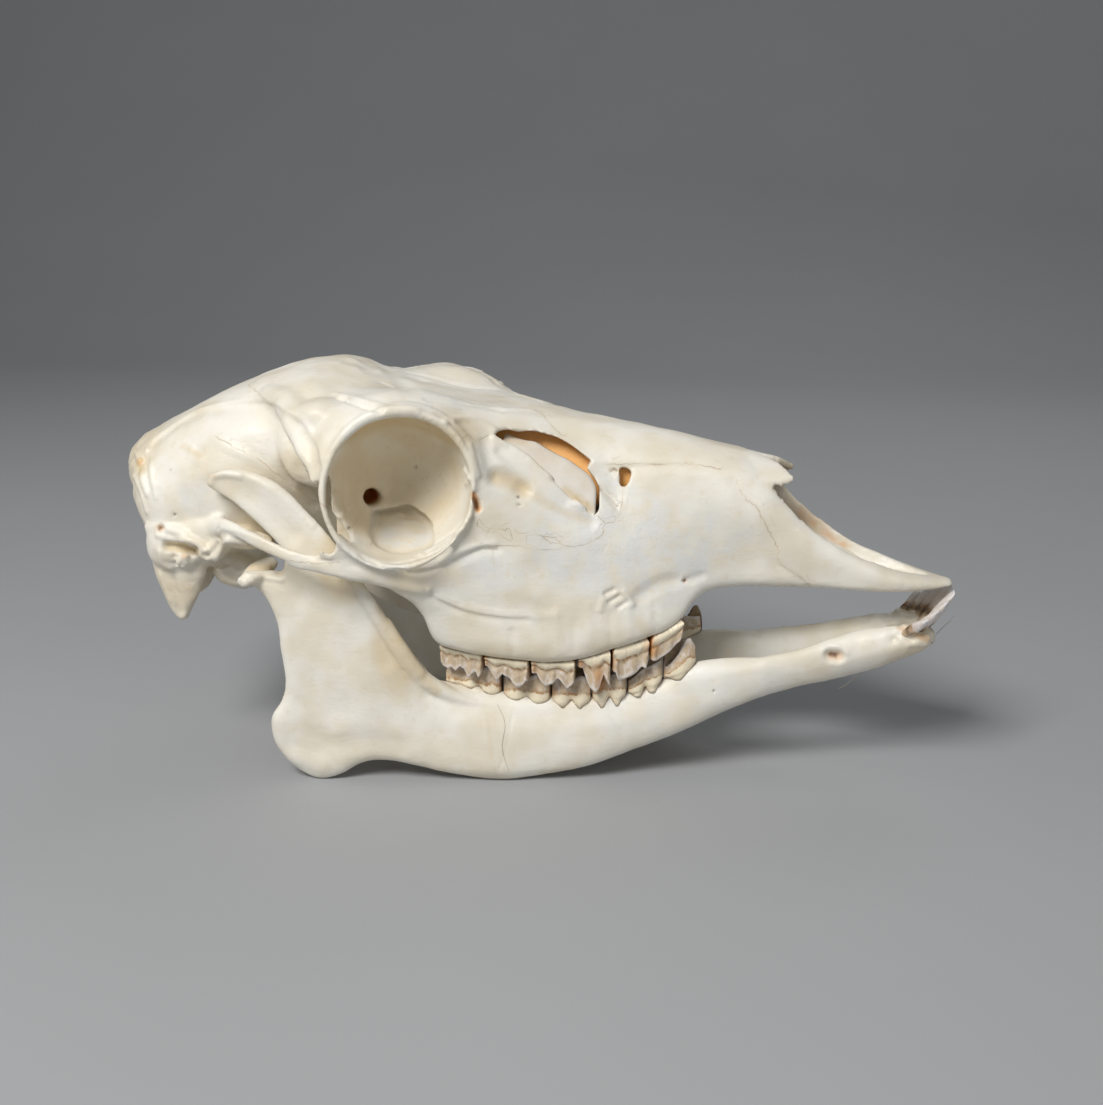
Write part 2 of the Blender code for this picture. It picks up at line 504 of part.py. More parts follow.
def thin_parts():
    """Rims, arches, plates and spikes that are added after the cuts."""
    pieces = []
    for side in (RIGHT, LEFT):
        rim = [(x, -side * y, z, ORBIT_LIP, ORBIT_LIP) for x, y, z in orbit_ring(ORBIT_LIP * 0.6, 0.2)]
        pieces.append(tube("rim", rim, up=(0.36, side * 0.93, 0.0), sides=12, spans=2, closed=True))
        arch = [(-101.0, 32.0, 78.0, 3.4, 4.4), (-95.0, 39.0, 80.6, 2.6, 3.0), (-89.0, 44.6, 81.4, 1.6, 2.1),
                (-82.0, 48.4, 79.9, 1.4, 2.0), (-75.0, 50.4, 77.4, 1.4, 1.9), (-68.0, 51.4, 75.3, 1.4, 1.9),
                (-60.0, 51.6, 74.4, 1.4, 1.9), (-53.0, 51.0, 73.6, 1.6, 2.0)]
        pieces.append(tube("arch", mirrored(arch, side), sides=16))
        strip = [(-70.0, 50.6, 72.9, 0.9, 0.9), (-66.0, 51.0, 72.2, 1.4, 1.5), (-60.0, 51.4, 71.6, 1.7, 2.0),
                 (-54.0, 51.2, 70.6, 2.2, 2.4), (-48.0, 49.6, 68.6, 2.4, 2.6)]
        pieces.append(tube("cheek strip", mirrored(strip, side), sides=16))
        lower = [(-66.0, 51.4, 73.0, 1.2, 1.6), (-60.0, 51.6, 72.4, 1.9, 2.6), (-53.0, 50.4, 71.6, 2.4, 2.8),
                 (-46.0, 47.4, 69.8, 2.4, 2.8), (-38.0, 43.4, 66.6, 2.0, 2.4), (-30.0, 40.0, 63.6, 1.4, 1.6)]
        pieces.append(tube("cheek edge", mirrored(lower, side), sides=16))
        pieces.append(ball("cheek corner", (-60.0, side * 50.8, 75.0), (6.0, 2.4, 3.6)))
        process = [(-113.5, 30.0, 72.0, 5.0, 9.5), (-113.5, 30.0, 65.0, 3.8, 9.2), (-114.0, 29.8, 59.0, 3.0, 7.6),
                   (-114.6, 29.2, 53.0, 2.4, 4.8), (-114.6, 28.6, 49.0, 2.0, 2.8), (-114.2, 28.3, 46.6, 1.2, 1.2)]
        pieces.append(tube("ear spike", mirrored(process, side), up=(1.0, 0.0, 0.0), sides=16))
        pipe = [(-105.0, 26.0, 68.0, 3.6, 3.6), (-108.0, 31.5, 68.2, 2.9, 2.9), (-110.4, 36.0, 68.2, 2.4, 2.4)]
        pieces.append(tube("ear pipe", mirrored(pipe, side), sides=16))
        shelf = [(-122.0, 30.5, 76.8, 3.0, 3.0), (-116.0, 33.2, 77.8, 3.0, 2.4), (-109.6, 34.6, 77.0, 3.2, 2.4),
                 (-105.0, 35.0, 74.0, 3.2, 2.6), (-101.5, 35.0, 71.0, 3.2, 2.8), (-98.0, 35.4, 72.6, 3.4, 3.0),
                 (-95.0, 35.6, 76.4, 3.4, 3.4)]
        pieces.append(tube("ear shelf", mirrored(shelf, side), sides=14))
        pieces.append(ball("shelf fill", (-104.0, side * 32.5, 77.0), (11.0, 4.4, 6.0)))
        pieces.append(nasal_shell(side))
        wing = [(-70.0, 68.0), (-66.0, 60.0), (-56.0, 52.5), (-44.0, 48.0), (-30.0, 47.5), (-26.0, 58.0),
                (-44.0, 66.0)]
        pieces.append(slab("throat wall", wing, side * 11.8, 1.3))
    return pieces


def make_cranium():
    made = make_bulk()
    carve(made, bulk_cutters())
    keep_largest(made)
    fused = fuse("cranium", [made] + thin_parts(), FINE_VOXEL, 3)
    return keep_largest(fused)


def jaw_thickness(x, z):
    """Half the thickness of a jaw half and the width of its rounded edge, in millimetres."""
    along = [-100.0, -75.0, -55.0, -35.0, -15.0, 10.0, 35.0, 50.0, 65.0, 77.0, 88.0, 97.0, 108.0, 121.0]
    body = blended([1.4, 2.2, 3.2, 4.6, 5.2, 5.4, 5.0, 4.6, 4.2, 4.0, 4.2, 4.9, 5.2, 4.6], along, x)
    if x < -40.0:
        high = blended([3.0, 2.3, 2.6, 2.6, 1.5], [0.0, 12.0, 35.0, 62.0, 80.0], z)
        share = min(1.0, (-40.0 - x) / 20.0)
        body = body + (high - body) * share
    edge = body * 1.5 + 1.0
    return body, edge


def jaw_lean(x, z):
    """How far a point of the jaw leans outwards at its height, in millimetres."""
    back = blended([0.0, 1.0, 0.0, -2.0], [0.0, 20.0, 55.0, 98.0], z)
    body = blended([1.0, -3.4], [4.0, 29.0], z)
    front = blended([0.0, 1.6], [34.0, 50.0], z)
    if x < -30.0:
        share = min(1.0, (-30.0 - x) / 20.0)
        return body + (back - body) * share
    share = max(0.0, min(1.0, (x - 40.0) / 30.0))
    return body + (front - body) * share


def distance_to(outline, x, z):
    best = 1e9
    for (ax, az), (bx, bz) in zip(outline, outline[1:] + outline[:1]):
        dx, dz = bx - ax, bz - az
        share = max(0.0, min(1.0, ((x - ax) * dx + (z - az) * dz) / (dx * dx + dz * dz)))
        best = min(best, math.hypot(x - ax - share * dx, z - az - share * dz))
    return best


def make_mandible(name, side):
    """One half of the lower jaw: body, ramus, angle, coronoid blade and joint head."""
    flat = slab(name, JAW_OUTLINE, 0.0, 3.0)
    plate = fuse(name, [flat], 1.6, 1)
    outline = [tuple(row) for row in smooth_row(JAW_OUTLINE, 2, closed=True)]
    lanes = [x for x, _ in JAW_SIDE]
    offsets = [y for _, y in JAW_SIDE]
    for vertex in plate.data.vertices:
        x = vertex.co.x / MM - FORWARD_SHIFT
        z = vertex.co.z / MM
        body, edge = jaw_thickness(x, z)
        inward = min(distance_to(outline, x, z) / edge, 1.0)
        bulge = math.sqrt(max(0.0, 1.0 - (1.0 - inward) ** 2))
        middle = blended(offsets, lanes, x)
        lean = jaw_lean(x, z)
        height = max(-1.0, min(1.0, vertex.co.y / (2.6 * MM)))
        vertex.co.y = side * (middle + lean) * MM + height * bulge * body * MM
    head = [(-87.0, 46.0, 65.0, 1.8, 1.4), (-85.4, 42.6, 65.8, 3.2, 1.8), (-84.2, 37.0, 67.0, 4.2, 2.2),
            (-83.6, 30.5, 67.6, 3.2, 2.0)]
    pieces = [plate, tube("joint head", mirrored(head, side), sides=16)]
    front = [(-55.0, 39.6, 68.0, 1.6, 1.6), (-48.8, 37.8, 56.0, 2.4, 2.4), (-42.4, 35.8, 44.0, 2.8, 2.8),
             (-35.6, 33.4, 33.6, 2.8, 2.8), (-26.0, 30.6, 26.8, 2.8, 2.4), (-12.0, 27.6, 22.5, 2.8, 1.8)]
    pieces.append(tube("front ridge", mirrored(front, side), sides=16))
    made = fuse(name, pieces, 1.0, 5)
    return keep_largest(made)


def tooth_outline(lobes, upper):
    """The cross outline of a cheek tooth, from -1 to 1 along the row and across it, outer face at +1."""
    if lobes == 1:
        return [(-1.0, 0.75), (-0.4, 0.92), (0.0, 1.0), (0.45, 0.9), (1.0, 0.85), (0.95, 0.0), (0.6, -0.85),
                (0.0, -1.0), (-0.6, -0.85), (-0.95, 0.0)]
    if lobes == 2:
        waist = 1.0 if upper else 0.72
        return [(-1.0, 0.8), (-0.5, 0.95), (-0.05, waist), (0.45, 0.95), (1.0, 0.9), (0.97, 0.0), (0.6, -0.95),
                (0.03, -0.62), (-0.55, -0.95), (-0.97, 0.0)]
    return [(-1.0, 0.4), (-0.72, 0.8), (-0.42, 0.66), (-0.1, 1.0), (0.22, 0.72), (0.6, 1.0), (1.0, 0.8),
            (0.98, -0.2), (0.6, -0.9), (0.1, -0.8), (-0.4, -0.7), (-0.85, -0.5)]


def row_place(row, x):
    """The distance of a tooth row's outer face from the middle at x, and its turn there."""
    lanes = [place for place, _ in row]
    offsets = [offset for _, offset in row]
    ahead = blended(offsets, lanes, x + 3.0)
    behind = blended(offsets, lanes, x - 3.0)
    return blended(offsets, lanes, x), math.atan2(ahead - behind, 6.0)


def cheek_tooth(name, side, upper, sizes):
    """One cheek tooth with worn cusps, standing in its socket."""
    rear, front, width, gum_rear, gum_front, tip, lobes = sizes
    middle = (rear + front) / 2
    outer, turn = row_place(UPPER_ROW if upper else LOWER_ROW, middle)
    half = (front - rear) / 2 / math.cos(turn)
    slope = (gum_front - gum_rear) / (front - rear)
    gum = (gum_rear + gum_front) / 2
    down = -1.0 if upper else 1.0
    crown = abs(gum - tip)
    outline = tooth_outline(lobes, upper)
    rings = []
    for level, shrink, cusp in ((-2.2, 0.9, 0.0), (crown * 0.9, 1.0, 1.0), (crown * 0.62, 0.5, 0.0)):
        ring = []
        for along, across in outline:
            cusped = max(0.0, across) if upper else max(0.0, -across)
            wave = math.cos(math.pi * max(lobes, 2) * (along + 1.0))
            rise = cusp * crown * (cusped * 0.12 - wave * 0.08 - (1.0 - cusped) * 0.25)
            u = along * half * shrink
            v = (across - 1.0) * width / 2 if shrink > 0.8 else (across * shrink - 1.0) * width / 2
            x = middle + u * math.cos(turn) - v * math.sin(turn)
            y = outer + u * math.sin(turn) + v * math.cos(turn)
            z = gum + slope * u + down * (level + rise)
            ring.append(point(x, side * y, z))
        rings.append(ring)
    return loft(name, rings)


def socket(side, upper, sizes):
    """The hole that a cheek tooth stands in, with a gap all round."""
    rear, front, width, gum_rear, gum_front, _, _ = sizes
    middle = (rear + front) / 2
    outer, turn = row_place(UPPER_ROW if upper else LOWER_ROW, middle)
    half = (front - rear) / 2 / math.cos(turn) + 0.3
    slope = (gum_front - gum_rear) / (front - rear)
    gum = (gum_rear + gum_front) / 2
    down = -1.0 if upper else 1.0
    corners = [(-1.0, 1.0), (1.0, 1.0), (1.05, -0.2), (0.75, -1.0), (-0.75, -1.0), (-1.05, -0.2)]
    rings = []
    for level in (-2.2 - TOOTH_GAP, 9.0):
        ring = []
        for along, across in corners:
            u = along * half
            v = (across - 1.0) * width / 2 + math.copysign(TOOTH_GAP, across)
            ring.append(point(middle + u * math.cos(turn) - v * math.sin(turn),
                              side * (outer + u * math.sin(turn) + v * math.cos(turn)),
                              gum + slope * u + down * level))
        rings.append(ring)
    return loft("socket", rings)


def front_tooth(name, side, sizes, grow=0.0):
    """One front tooth: a thin root and a crown like a small spade."""
    (rx, ry, rz), (tx, ty, tz), width = sizes
    steps = [(0.0, 1.1, 1.1), (0.42, 1.5, 1.3), (0.62, width * 0.36, 1.5), (0.85, width * 0.5, 1.1),
             (1.0, width * 0.46, 0.4)]
    stations = []
    for share, across, deep in steps:
        stations.append((rx + (tx - rx) * share, side * (ry + (ty - ry) * share), rz + (tz - rz) * share,
                         across + grow, deep + grow))
    return tube(name, stations, sides=8, spans=1)


def paint(made, colour, roughness):
    finish = bpy.data.materials.get(made.name) or bpy.data.materials.new(made.name)
    finish.use_nodes = True
    shader = finish.node_tree.nodes["Principled BSDF"]
    shader.inputs["Base Color"].default_value = (*colour, 1.0)
    shader.inputs["Roughness"].default_value = roughness
    made.data.materials.clear()
    made.data.materials.append(finish)
    made.data.shade_smooth()


def cut_sockets(bone, tools):
    """Cuts separate tools out of a thinned bone, one after the other."""
    for tool in tools:
        cut = bone.modifiers.new("Socket", "BOOLEAN")
        cut.operation = "DIFFERENCE"
        cut.solver = "EXACT"
        cut.object = tool
        settle(bone)
        bpy.data.objects.remove(tool, do_unlink=True)
    return bone


BONE = (0.80, 0.74, 0.62)
ENAMEL = (0.62, 0.52, 0.40)
FRONT_ENAMEL = (0.80, 0.70, 0.60)


def main():
    clear_scene()
    cranium = make_cranium()
    thin_out(cranium, CRANIUM_FACES)
    cut_sockets(cranium, [socket(side, True, sizes) for side in (RIGHT, LEFT) for sizes in UPPER_TEETH.values()])
    keep_largest(cranium)
    paint(cranium, BONE, 0.55)
    for word, side in (("right", RIGHT), ("left", LEFT)):
        jaw = make_mandible("mandible_" + word, side)
        thin_out(jaw, MANDIBLE_FACES)
        tools = [socket(side, False, sizes) for sizes in LOWER_TEETH.values()]
        tools += [front_tooth("socket", side, sizes, TOOTH_GAP) for sizes in FRONT_TEETH.values()]
        cut_sockets(jaw, tools)
        keep_largest(jaw)
        paint(jaw, BONE, 0.5)
        for short, sizes in UPPER_TEETH.items():
            paint(cheek_tooth("upper_" + short + "_" + word, side, True, sizes), ENAMEL, 0.4)
        for short, sizes in LOWER_TEETH.items():
            paint(cheek_tooth("lower_" + short + "_" + word, side, False, sizes), ENAMEL, 0.4)
        for short, sizes in FRONT_TEETH.items():
            paint(front_tooth("lower_" + short + "_" + word, side, sizes), FRONT_ENAMEL, 0.35)


main()
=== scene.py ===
"""Cleaned mule deer skull: detailed bone, worn teeth, stray hairs and a plain studio round the solids.

Lengths are drawn in millimetres from the middle of the skull, with the snout along +X, the right side facing
-Y and +Z up. Places named in picture points are points of the photograph, and they are laid onto the bone by
looking through the camera that took it. The left half mirrors the right one.
"""

import logging
import math
from dataclasses import dataclass
from enum import Enum, IntEnum

import bmesh
import bpy
import numpy as np
from mathutils import Matrix, Vector, geometry, noise
from mathutils.bvhtree import BVHTree


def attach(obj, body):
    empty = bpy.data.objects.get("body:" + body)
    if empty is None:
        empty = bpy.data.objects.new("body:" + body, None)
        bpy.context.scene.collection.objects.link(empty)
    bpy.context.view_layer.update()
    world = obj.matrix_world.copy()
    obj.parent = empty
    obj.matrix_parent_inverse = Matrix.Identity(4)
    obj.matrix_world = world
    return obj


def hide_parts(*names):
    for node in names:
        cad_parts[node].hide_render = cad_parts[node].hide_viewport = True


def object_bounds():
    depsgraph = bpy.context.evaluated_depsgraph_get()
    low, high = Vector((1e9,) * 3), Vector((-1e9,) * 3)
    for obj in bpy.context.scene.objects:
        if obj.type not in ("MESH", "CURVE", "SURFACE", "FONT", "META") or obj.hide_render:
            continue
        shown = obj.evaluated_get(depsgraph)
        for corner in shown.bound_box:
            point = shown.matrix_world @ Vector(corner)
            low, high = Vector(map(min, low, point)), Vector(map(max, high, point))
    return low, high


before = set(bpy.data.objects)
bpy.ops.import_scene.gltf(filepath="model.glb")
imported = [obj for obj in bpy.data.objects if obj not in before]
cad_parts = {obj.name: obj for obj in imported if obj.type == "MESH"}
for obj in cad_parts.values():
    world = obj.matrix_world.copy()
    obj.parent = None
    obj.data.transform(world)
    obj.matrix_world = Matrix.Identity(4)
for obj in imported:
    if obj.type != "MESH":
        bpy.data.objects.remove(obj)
SOLID_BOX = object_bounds()

LOG = logging.getLogger("skull")
MM = 0.001
# How far the middle of the footprint lies behind the middle that the outlines are drawn from.
FORWARD_SHIFT = 5.5
BODY = "root"
# How far finished bone keeps inside the solids' box, in millimetres.
BOX_MARGIN = 0.02
# Distance from a suture that counts as none near, in millimetres.
NO_SEAM = 5.0
# A distance that is larger than any on the skull.
FAR = 1e6

Row = tuple[float, ...]
Spot = tuple[float, float]
Path = tuple[Spot, ...]
Colour = tuple[float, float, float, float]
Skin = bmesh.types.BMesh
Piece = bpy.types.Object
Material = bpy.types.Material
Tree = bpy.types.NodeTree
Node = bpy.types.Node
Socket = bpy.types.NodeSocket
Value = Socket | float | Row


class Side(Enum):
    """A half of the skull. The right half faces the camera."""

    RIGHT = -1
    LEFT = 1

    @property
    def word(self) -> str:
        """The side's name as the solids' names write it."""
        return self.name.lower()


class Tint(IntEnum):
    """A tint of the bone, by its channel in the painted mask. The warm channel holds real stains and also tan
    painted shade in hollows; the dark channel is painted shade inside holes.
    """

    # Real warm stains, and tan painted shade in hollows.
    WARM = 0
    ORANGE = 1
    # Painted shade inside holes and pits.
    DARK = 2
    COOL = 3


def point(x: float, y: float, z: float) -> Vector:
    """Turns a drawn place, in millimetres, into metres in the frame of the solids."""
    return Vector(((x + FORWARD_SHIFT) * MM, y * MM, z * MM))


def blended(values: Row, knots: Row, at: float) -> float:
    """Reads a row of values between its rising knots, straight from one to the next."""
    return float(np.interp(at, knots, values))


def smooth_row(rows: list[Row], spans: int, closed: bool = False) -> list[list[float]]:
    """Sets more rows of numbers between the given ones, on a Catmull-Rom curve.

    Args:
        rows: The rows that the curve runs through.
        spans: Steps from one row to the next.
        closed: Whether the last row leads back to the first.

    Returns:
        All rows along the curve.
    """
    count = len(rows)
    knots = np.array(rows, dtype=float)
    result = []
    for index in range(count if closed else count - 1):
        if closed:
            a, b, c, d = (knots[(index + k) % count] for k in (-1, 0, 1, 2))
        else:
            a, b, c, d = (knots[min(max(index + k, 0), count - 1)] for k in (-1, 0, 1, 2))
        for step in range(spans):
            t = step / spans
            row = 0.5 * (2 * b + (c - a) * t + (2 * a - 5 * b + 4 * c - d) * t**2
                         + (3 * b - a - 3 * c + d) * t**3)
            result.append(list(row))
    if not closed:
        result.append(list(knots[-1]))
    return result


@dataclass(frozen=True)
class PhotoCamera:
    """The camera that took the photograph, set in the frame of the solids."""

    azimuth: float = 9.5
    elevation: float = 15.0
    distance: float = 440.0
    focal_points: float = 1364.0
    target: Row = (0.0, 0.0, 66.2)
    middle: Spot = (551.5, 552.5)
    picture_height: float = 1105.0
    sensor: float = 36.0

    def axes(self) -> tuple[Vector, Vector, Vector]:
        """Gives the directions to the right, up and forward of the camera.

        Returns:
            The three directions, each of length 1.
        """
        a, e = math.radians(self.azimuth), math.radians(self.elevation)
        forward = Vector((-math.sin(a) * math.cos(e), math.cos(a) * math.cos(e), -math.sin(e)))
        right = Vector((math.cos(a), math.sin(a), 0.0))
        return right, right.cross(forward), forward

    def place(self) -> Vector:
        """Gives the camera's place in metres."""
        return point(*self.target) - self.axes()[2] * self.distance * MM

    def ray(self, spot: Spot) -> Vector:
        """Gives the direction of sight through one point of the picture.

        Args:
            spot: The picture point.

        Returns:
            The direction, of length 1.
        """
        right, up, forward = self.axes()
        across = (spot[0] - self.middle[0]) / self.focal_points
        down = (spot[1] - self.middle[1]) / self.focal_points
        return (forward + right * across - up * down).normalized()

    def on_wall(self, spot: Spot, side_mm: float) -> Vector:
        """Follows a line of sight to an upright wall along the skull.

        Args:
            spot: The picture point.
            side_mm: The wall's distance across the skull.

        Returns:
            The place in millimetres, drawn as the outlines are.
        """
        start, way = self.place(), self.ray(spot)
        hit = start + way * ((side_mm * MM - start.y) / way.y)
        return Vector((hit.x / MM - FORWARD_SHIFT, hit.y / MM, hit.z / MM))

    def build(self) -> Piece:
        """Makes the scene's camera.

        Returns:
            The camera, which the scene looks through.
        """
        data = bpy.data.cameras.new("photo_camera")
        data.sensor_fit = "VERTICAL"
        data.sensor_height = self.sensor
        data.sensor_width = self.sensor
        data.lens = self.focal_points / self.picture_height * self.sensor
        data.clip_start = 0.01
        data.clip_end = 20.0
        camera = bpy.data.objects.new("photo_camera", data)
        bpy.context.scene.collection.objects.link(camera)
        right, up, forward = self.axes()
        turned = Matrix((right, up, -forward)).transposed().to_4x4()
        camera.matrix_world = Matrix.Translation(self.place()) @ turned
        bpy.context.scene.camera = camera
        return camera


PHOTO = PhotoCamera()


# Shaping tools.


def as_object(name: str, shape: Skin) -> Piece:
    """Turns a bmesh into a linked object and frees it.

    Args:
        name: Name of the object and its mesh.
        shape: The bmesh, which is used up.

    Returns:
        The object.
    """
    mesh = bpy.data.meshes.new(name)
    shape.to_mesh(mesh)
    shape.free()
    made = bpy.data.objects.new(name, mesh)
    bpy.context.scene.collection.objects.link(made)
    return made


def gather(whole: Skin, shape: Skin) -> None:
    """Adds a skin to another one and frees it.

    Args:
        whole: The skin that takes it up.
        shape: The skin to add, which is used up.
    """
    mesh = bpy.data.meshes.new("skin")
    shape.to_mesh(mesh)
    shape.free()
    whole.from_mesh(mesh)
    bpy.data.meshes.remove(mesh)


def skin(rings: list[list[Vector]], closed: bool = False) -> Skin:
    """Bridges a row of rings into one closed skin.

    Args:
        rings: Rings of places in metres, all with the same number.
        closed: Whether the last ring joins the first one.

    Returns:
        The skin, facing out.
    """
    shape = bmesh.new()
    loops = []
    for places in rings:
        corners = bmesh.ops.create_circle(shape, cap_ends=False, segments=len(places), radius=1.0)["verts"]
        for corner, place in zip(corners, places):
            corner.co = place
        loops.append([shape.edges.get((corners[i - 1], corners[i])) for i in range(len(corners))])
    for first, second in zip(loops, loops[1:] + (loops[:1] if closed else [])):
        bmesh.ops.bridge_loops(shape, edges=first + second)
    if not closed:
        for end in (loops[0], loops[-1]):
            bmesh.ops.contextual_create(shape, geom=end)
    bmesh.ops.recalc_face_normals(shape, faces=shape.faces[:])
    return shape


def lofted(sections: dict[float, list[Spot]], spans: int = 4) -> Skin:
    """Skins mirrored half outlines that stand across the skull.

    Args:
        sections: Place along the skull to half outline, from the top of the middle round to its bottom.
        spans: Steps between given points, both ways.

    Returns:
        The closed skin.
    """
    flat = [(x, *(value for pair in half for value in pair)) for x, half in sorted(sections.items())]
    rings = []
    for row in smooth_row(flat, spans):
        half = list(zip(row[1::2], row[2::2]))
        other = [(-y, z) for y, z in reversed(half[1:-1])]
        rings.append([point(row[0], y, z) for y, z in smooth_row(half + other, spans, closed=True)])
    return skin(rings)


def tube(stations: list[Row], side: Side | None = None, up: Row = (0.0, 0.0, 1.0), sides: int = 20,
         spans: int = 6, closed: bool = False) -> Skin:
    """Runs a tube of oval cross section along stations.

    Args:
        stations: Rows of x, y, z, radius across and radius up.
        side: The half of the skull it is on, or None where y is already signed.
        up: The direction that counts as up for the cross section.
        sides: Corners of each ring.
        spans: Steps between stations.
        closed: Whether it runs back to its start.

    Returns:
        The closed skin.
    """
    sign = side.value if side else 1
    rows = smooth_row([(s[0], sign * s[1], *s[2:]) for s in stations], spans, closed)
    centres = [point(*row[:3]) for row in rows]
    count = len(rows)
    rings = []
    for index, row in enumerate(rows):
        if closed:
            ahead = centres[(index + 1) % count] - centres[index - 1]
        else:
            ahead = centres[min(index + 1, count - 1)] - centres[max(index - 1, 0)]
        across = ahead.cross(Vector(up)).normalized()
        over = across.cross(ahead.normalized())
        ring = []
        for step in range(sides):
            turn = 2 * math.pi * step / sides
            offset = across * (math.cos(turn) * row[3] * MM)
            ring.append(centres[index] + offset + over * (math.sin(turn) * row[4] * MM))
        rings.append(ring)
    return skin(rings, closed)


def ball(centre: Row, radii: Row, side: Side | None = None, turn: Row = (0.0, 0.0, 0.0)) -> Skin:
    """Makes an oval ball.

    Args:
        centre: Its middle, drawn for the left half where a side is given.
        radii: Its three radii.
        side: The half of the skull it is on.
        turn: Turns about X, Y and Z in degrees, mirrored with the side.

    Returns:
        The closed skin.
    """
    sign = side.value if side else 1
    shape = bmesh.new()
    bmesh.ops.create_icosphere(shape, subdivisions=4, radius=1.0)
    rotation = Matrix.Identity(4)
    for angle, axis in zip((sign * turn[0], turn[1], sign * turn[2]), "XYZ"):
        rotation = Matrix.Rotation(math.radians(angle), 4, axis) @ rotation
    size = Matrix.Diagonal((*(r * MM for r in radii), 1.0))
    place = Matrix.Translation(point(centre[0], sign * centre[1], centre[2]))
    bmesh.ops.transform(shape, matrix=place @ rotation @ size, verts=shape.verts[:])
    return shape


def plate(outline: list[Spot], across: float, half_thickness: float, spans: int = 3) -> Skin:
    """Makes a flat plate that stands along the skull.

    Args:
        outline: Its side outline as x and z, rounded between the points.
        across: The distance of its middle across the skull, signed.
        half_thickness: Half its thickness.
        spans: Steps between the outline's points.

    Returns:
        The closed skin.
    """
    rows = smooth_row(outline, spans, closed=True)
    shape = bmesh.new()
    corners = bmesh.ops.create_circle(shape, cap_ends=True, segments=len(rows), radius=1.0)["verts"]
    for corner, (x, z) in zip(corners, rows):
        corner.co = point(x, across - half_thickness, z)
    made = bmesh.ops.extrude_face_region(shape, geom=shape.faces[:])
    moved = [item for item in made["geom"] if isinstance(item, bmesh.types.BMVert)]
    bmesh.ops.translate(shape, vec=Vector((0.0, 2 * half_thickness * MM, 0.0)), verts=moved)
    bmesh.ops.recalc_face_normals(shape, faces=shape.faces[:])
    return shape


def along_sight(spots: list[Row], side: Side) -> Skin:
    """Makes a block whose edges follow the photograph's sight lines.

    Args:
        spots: Its outline as picture points, each with the block's outer and inner distance across.
        side: The half of the skull that it is for.

    Returns:
        The closed block.
    """
    flip = Vector((1.0, -side.value, 1.0))
    rings = []
    for column in (2, 3):
        ring = [PHOTO.on_wall(spot[:2], -spot[column]) * flip for spot in spots]
        rings.append([point(*place) for place in ring])
    return skin(rings)


def shell(free: list[Vector], held: list[Vector], bulge: float, thickness: float = 0.7,
          steps: int = 8) -> Skin:
    """Makes a thin curved shell between two edges.

    Args:
        free: Drawn places along its free edge.
        held: As many places along the edge where it is held.
        bulge: How far it bulges outwards between them.
        thickness: Its thickness towards the middle of the skull.
        steps: Steps from one edge to the other.

    Returns:
        The closed skin.
    """
    rings = []
    for a, b in zip(smooth_row([tuple(p) for p in free], 3), smooth_row([tuple(p) for p in held], 3)):
        outer = []
        for step in range(steps + 1):
            share = step / steps
            place = Vector(a).lerp(Vector(b), share)
            place.y += math.copysign(bulge * math.sin(math.pi * share) ** 0.8, place.y)
            outer.append(place)
        inner = [p - Vector((0.0, math.copysign(thickness, p.y), 0.0)) for p in reversed(outer)]
        rings.append([point(*p) for p in outer + inner])
    return skin(rings)


def settle(made: Piece) -> Piece:
    """Applies an object's modifiers to its mesh.

    Args:
        made: The object.

    Returns:
        The same object.
    """
    graph = bpy.context.evaluated_depsgraph_get()
    graph.update()
    fresh = bpy.data.meshes.new_from_object(made.evaluated_get(graph))
    made.modifiers.clear()
    old = made.data
    made.data = fresh
    bpy.data.meshes.remove(old)
    return made


def fuse(name: str, shapes: list[Skin], voxel: float, rounds: int) -> Piece:
    """Fuses skins into one, with their joints rounded off.

    Args:
        name: Name of the object.
        shapes: The skins, which are used up.
        voxel: Size of the grain of the new skin in millimetres.
        rounds: How often it is smoothed.

    Returns:
        The fused object.
    """
    whole = bmesh.new()
    for shape in shapes:
        gather(whole, shape)
    made = as_object(name, whole)
    remesh = made.modifiers.new("One skin", "REMESH")
    remesh.mode = "VOXEL"
    remesh.voxel_size = voxel * MM
    settle(made)
    smooth = made.modifiers.new("Round off", "SMOOTH")
    smooth.factor = 0.5
    smooth.iterations = rounds
    return settle(made)


def carve(made: Piece, cutters: list[Skin], voxel: float) -> Piece:
    """Cuts skins, fused into one, out of an object.

    Args:
        made: The object.
        cutters: The skins, which are used up.
        voxel: Size of the grain of the fused skins in millimetres.

    Returns:
        The same object.
    """
    tool = fuse("cutter", cutters, voxel, 2)
    cut = made.modifiers.new("Carve", "BOOLEAN")
    cut.operation = "DIFFERENCE"
    cut.solver = "EXACT"
    cut.object = tool
    settle(made)
    bpy.data.objects.remove(tool, do_unlink=True)
    return made


def reopened(made: Piece) -> Skin:
    """Takes an object's mesh back as a skin and removes the object.

    Args:
        made: The object.

    Returns:
        The skin.
    """
    shape = bmesh.new()
    shape.from_mesh(made.data)
    bpy.data.objects.remove(made, do_unlink=True)
    return shape


def drop_crumbs(made: Piece) -> Piece:
    """Removes every loose bit of a mesh but its largest.

    Args:
        made: The object.

    Returns:
        The same object.
    """
    shape = bmesh.new()
    shape.from_mesh(made.data)
    seen = set()
    groups = []
    for start in shape.verts:
        if start in seen:
            continue
        group = [start]
        seen.add(start)
        for vertex in group:
            for edge in vertex.link_edges:
                other = edge.other_vert(vertex)
                if other not in seen:
                    seen.add(other)
                    group.append(other)
        groups.append(group)
    groups.sort(key=len)
    for group in groups[:-1]:
        bmesh.ops.delete(shape, geom=group, context="VERTS")
    shape.to_mesh(made.data)
    shape.free()
    return made


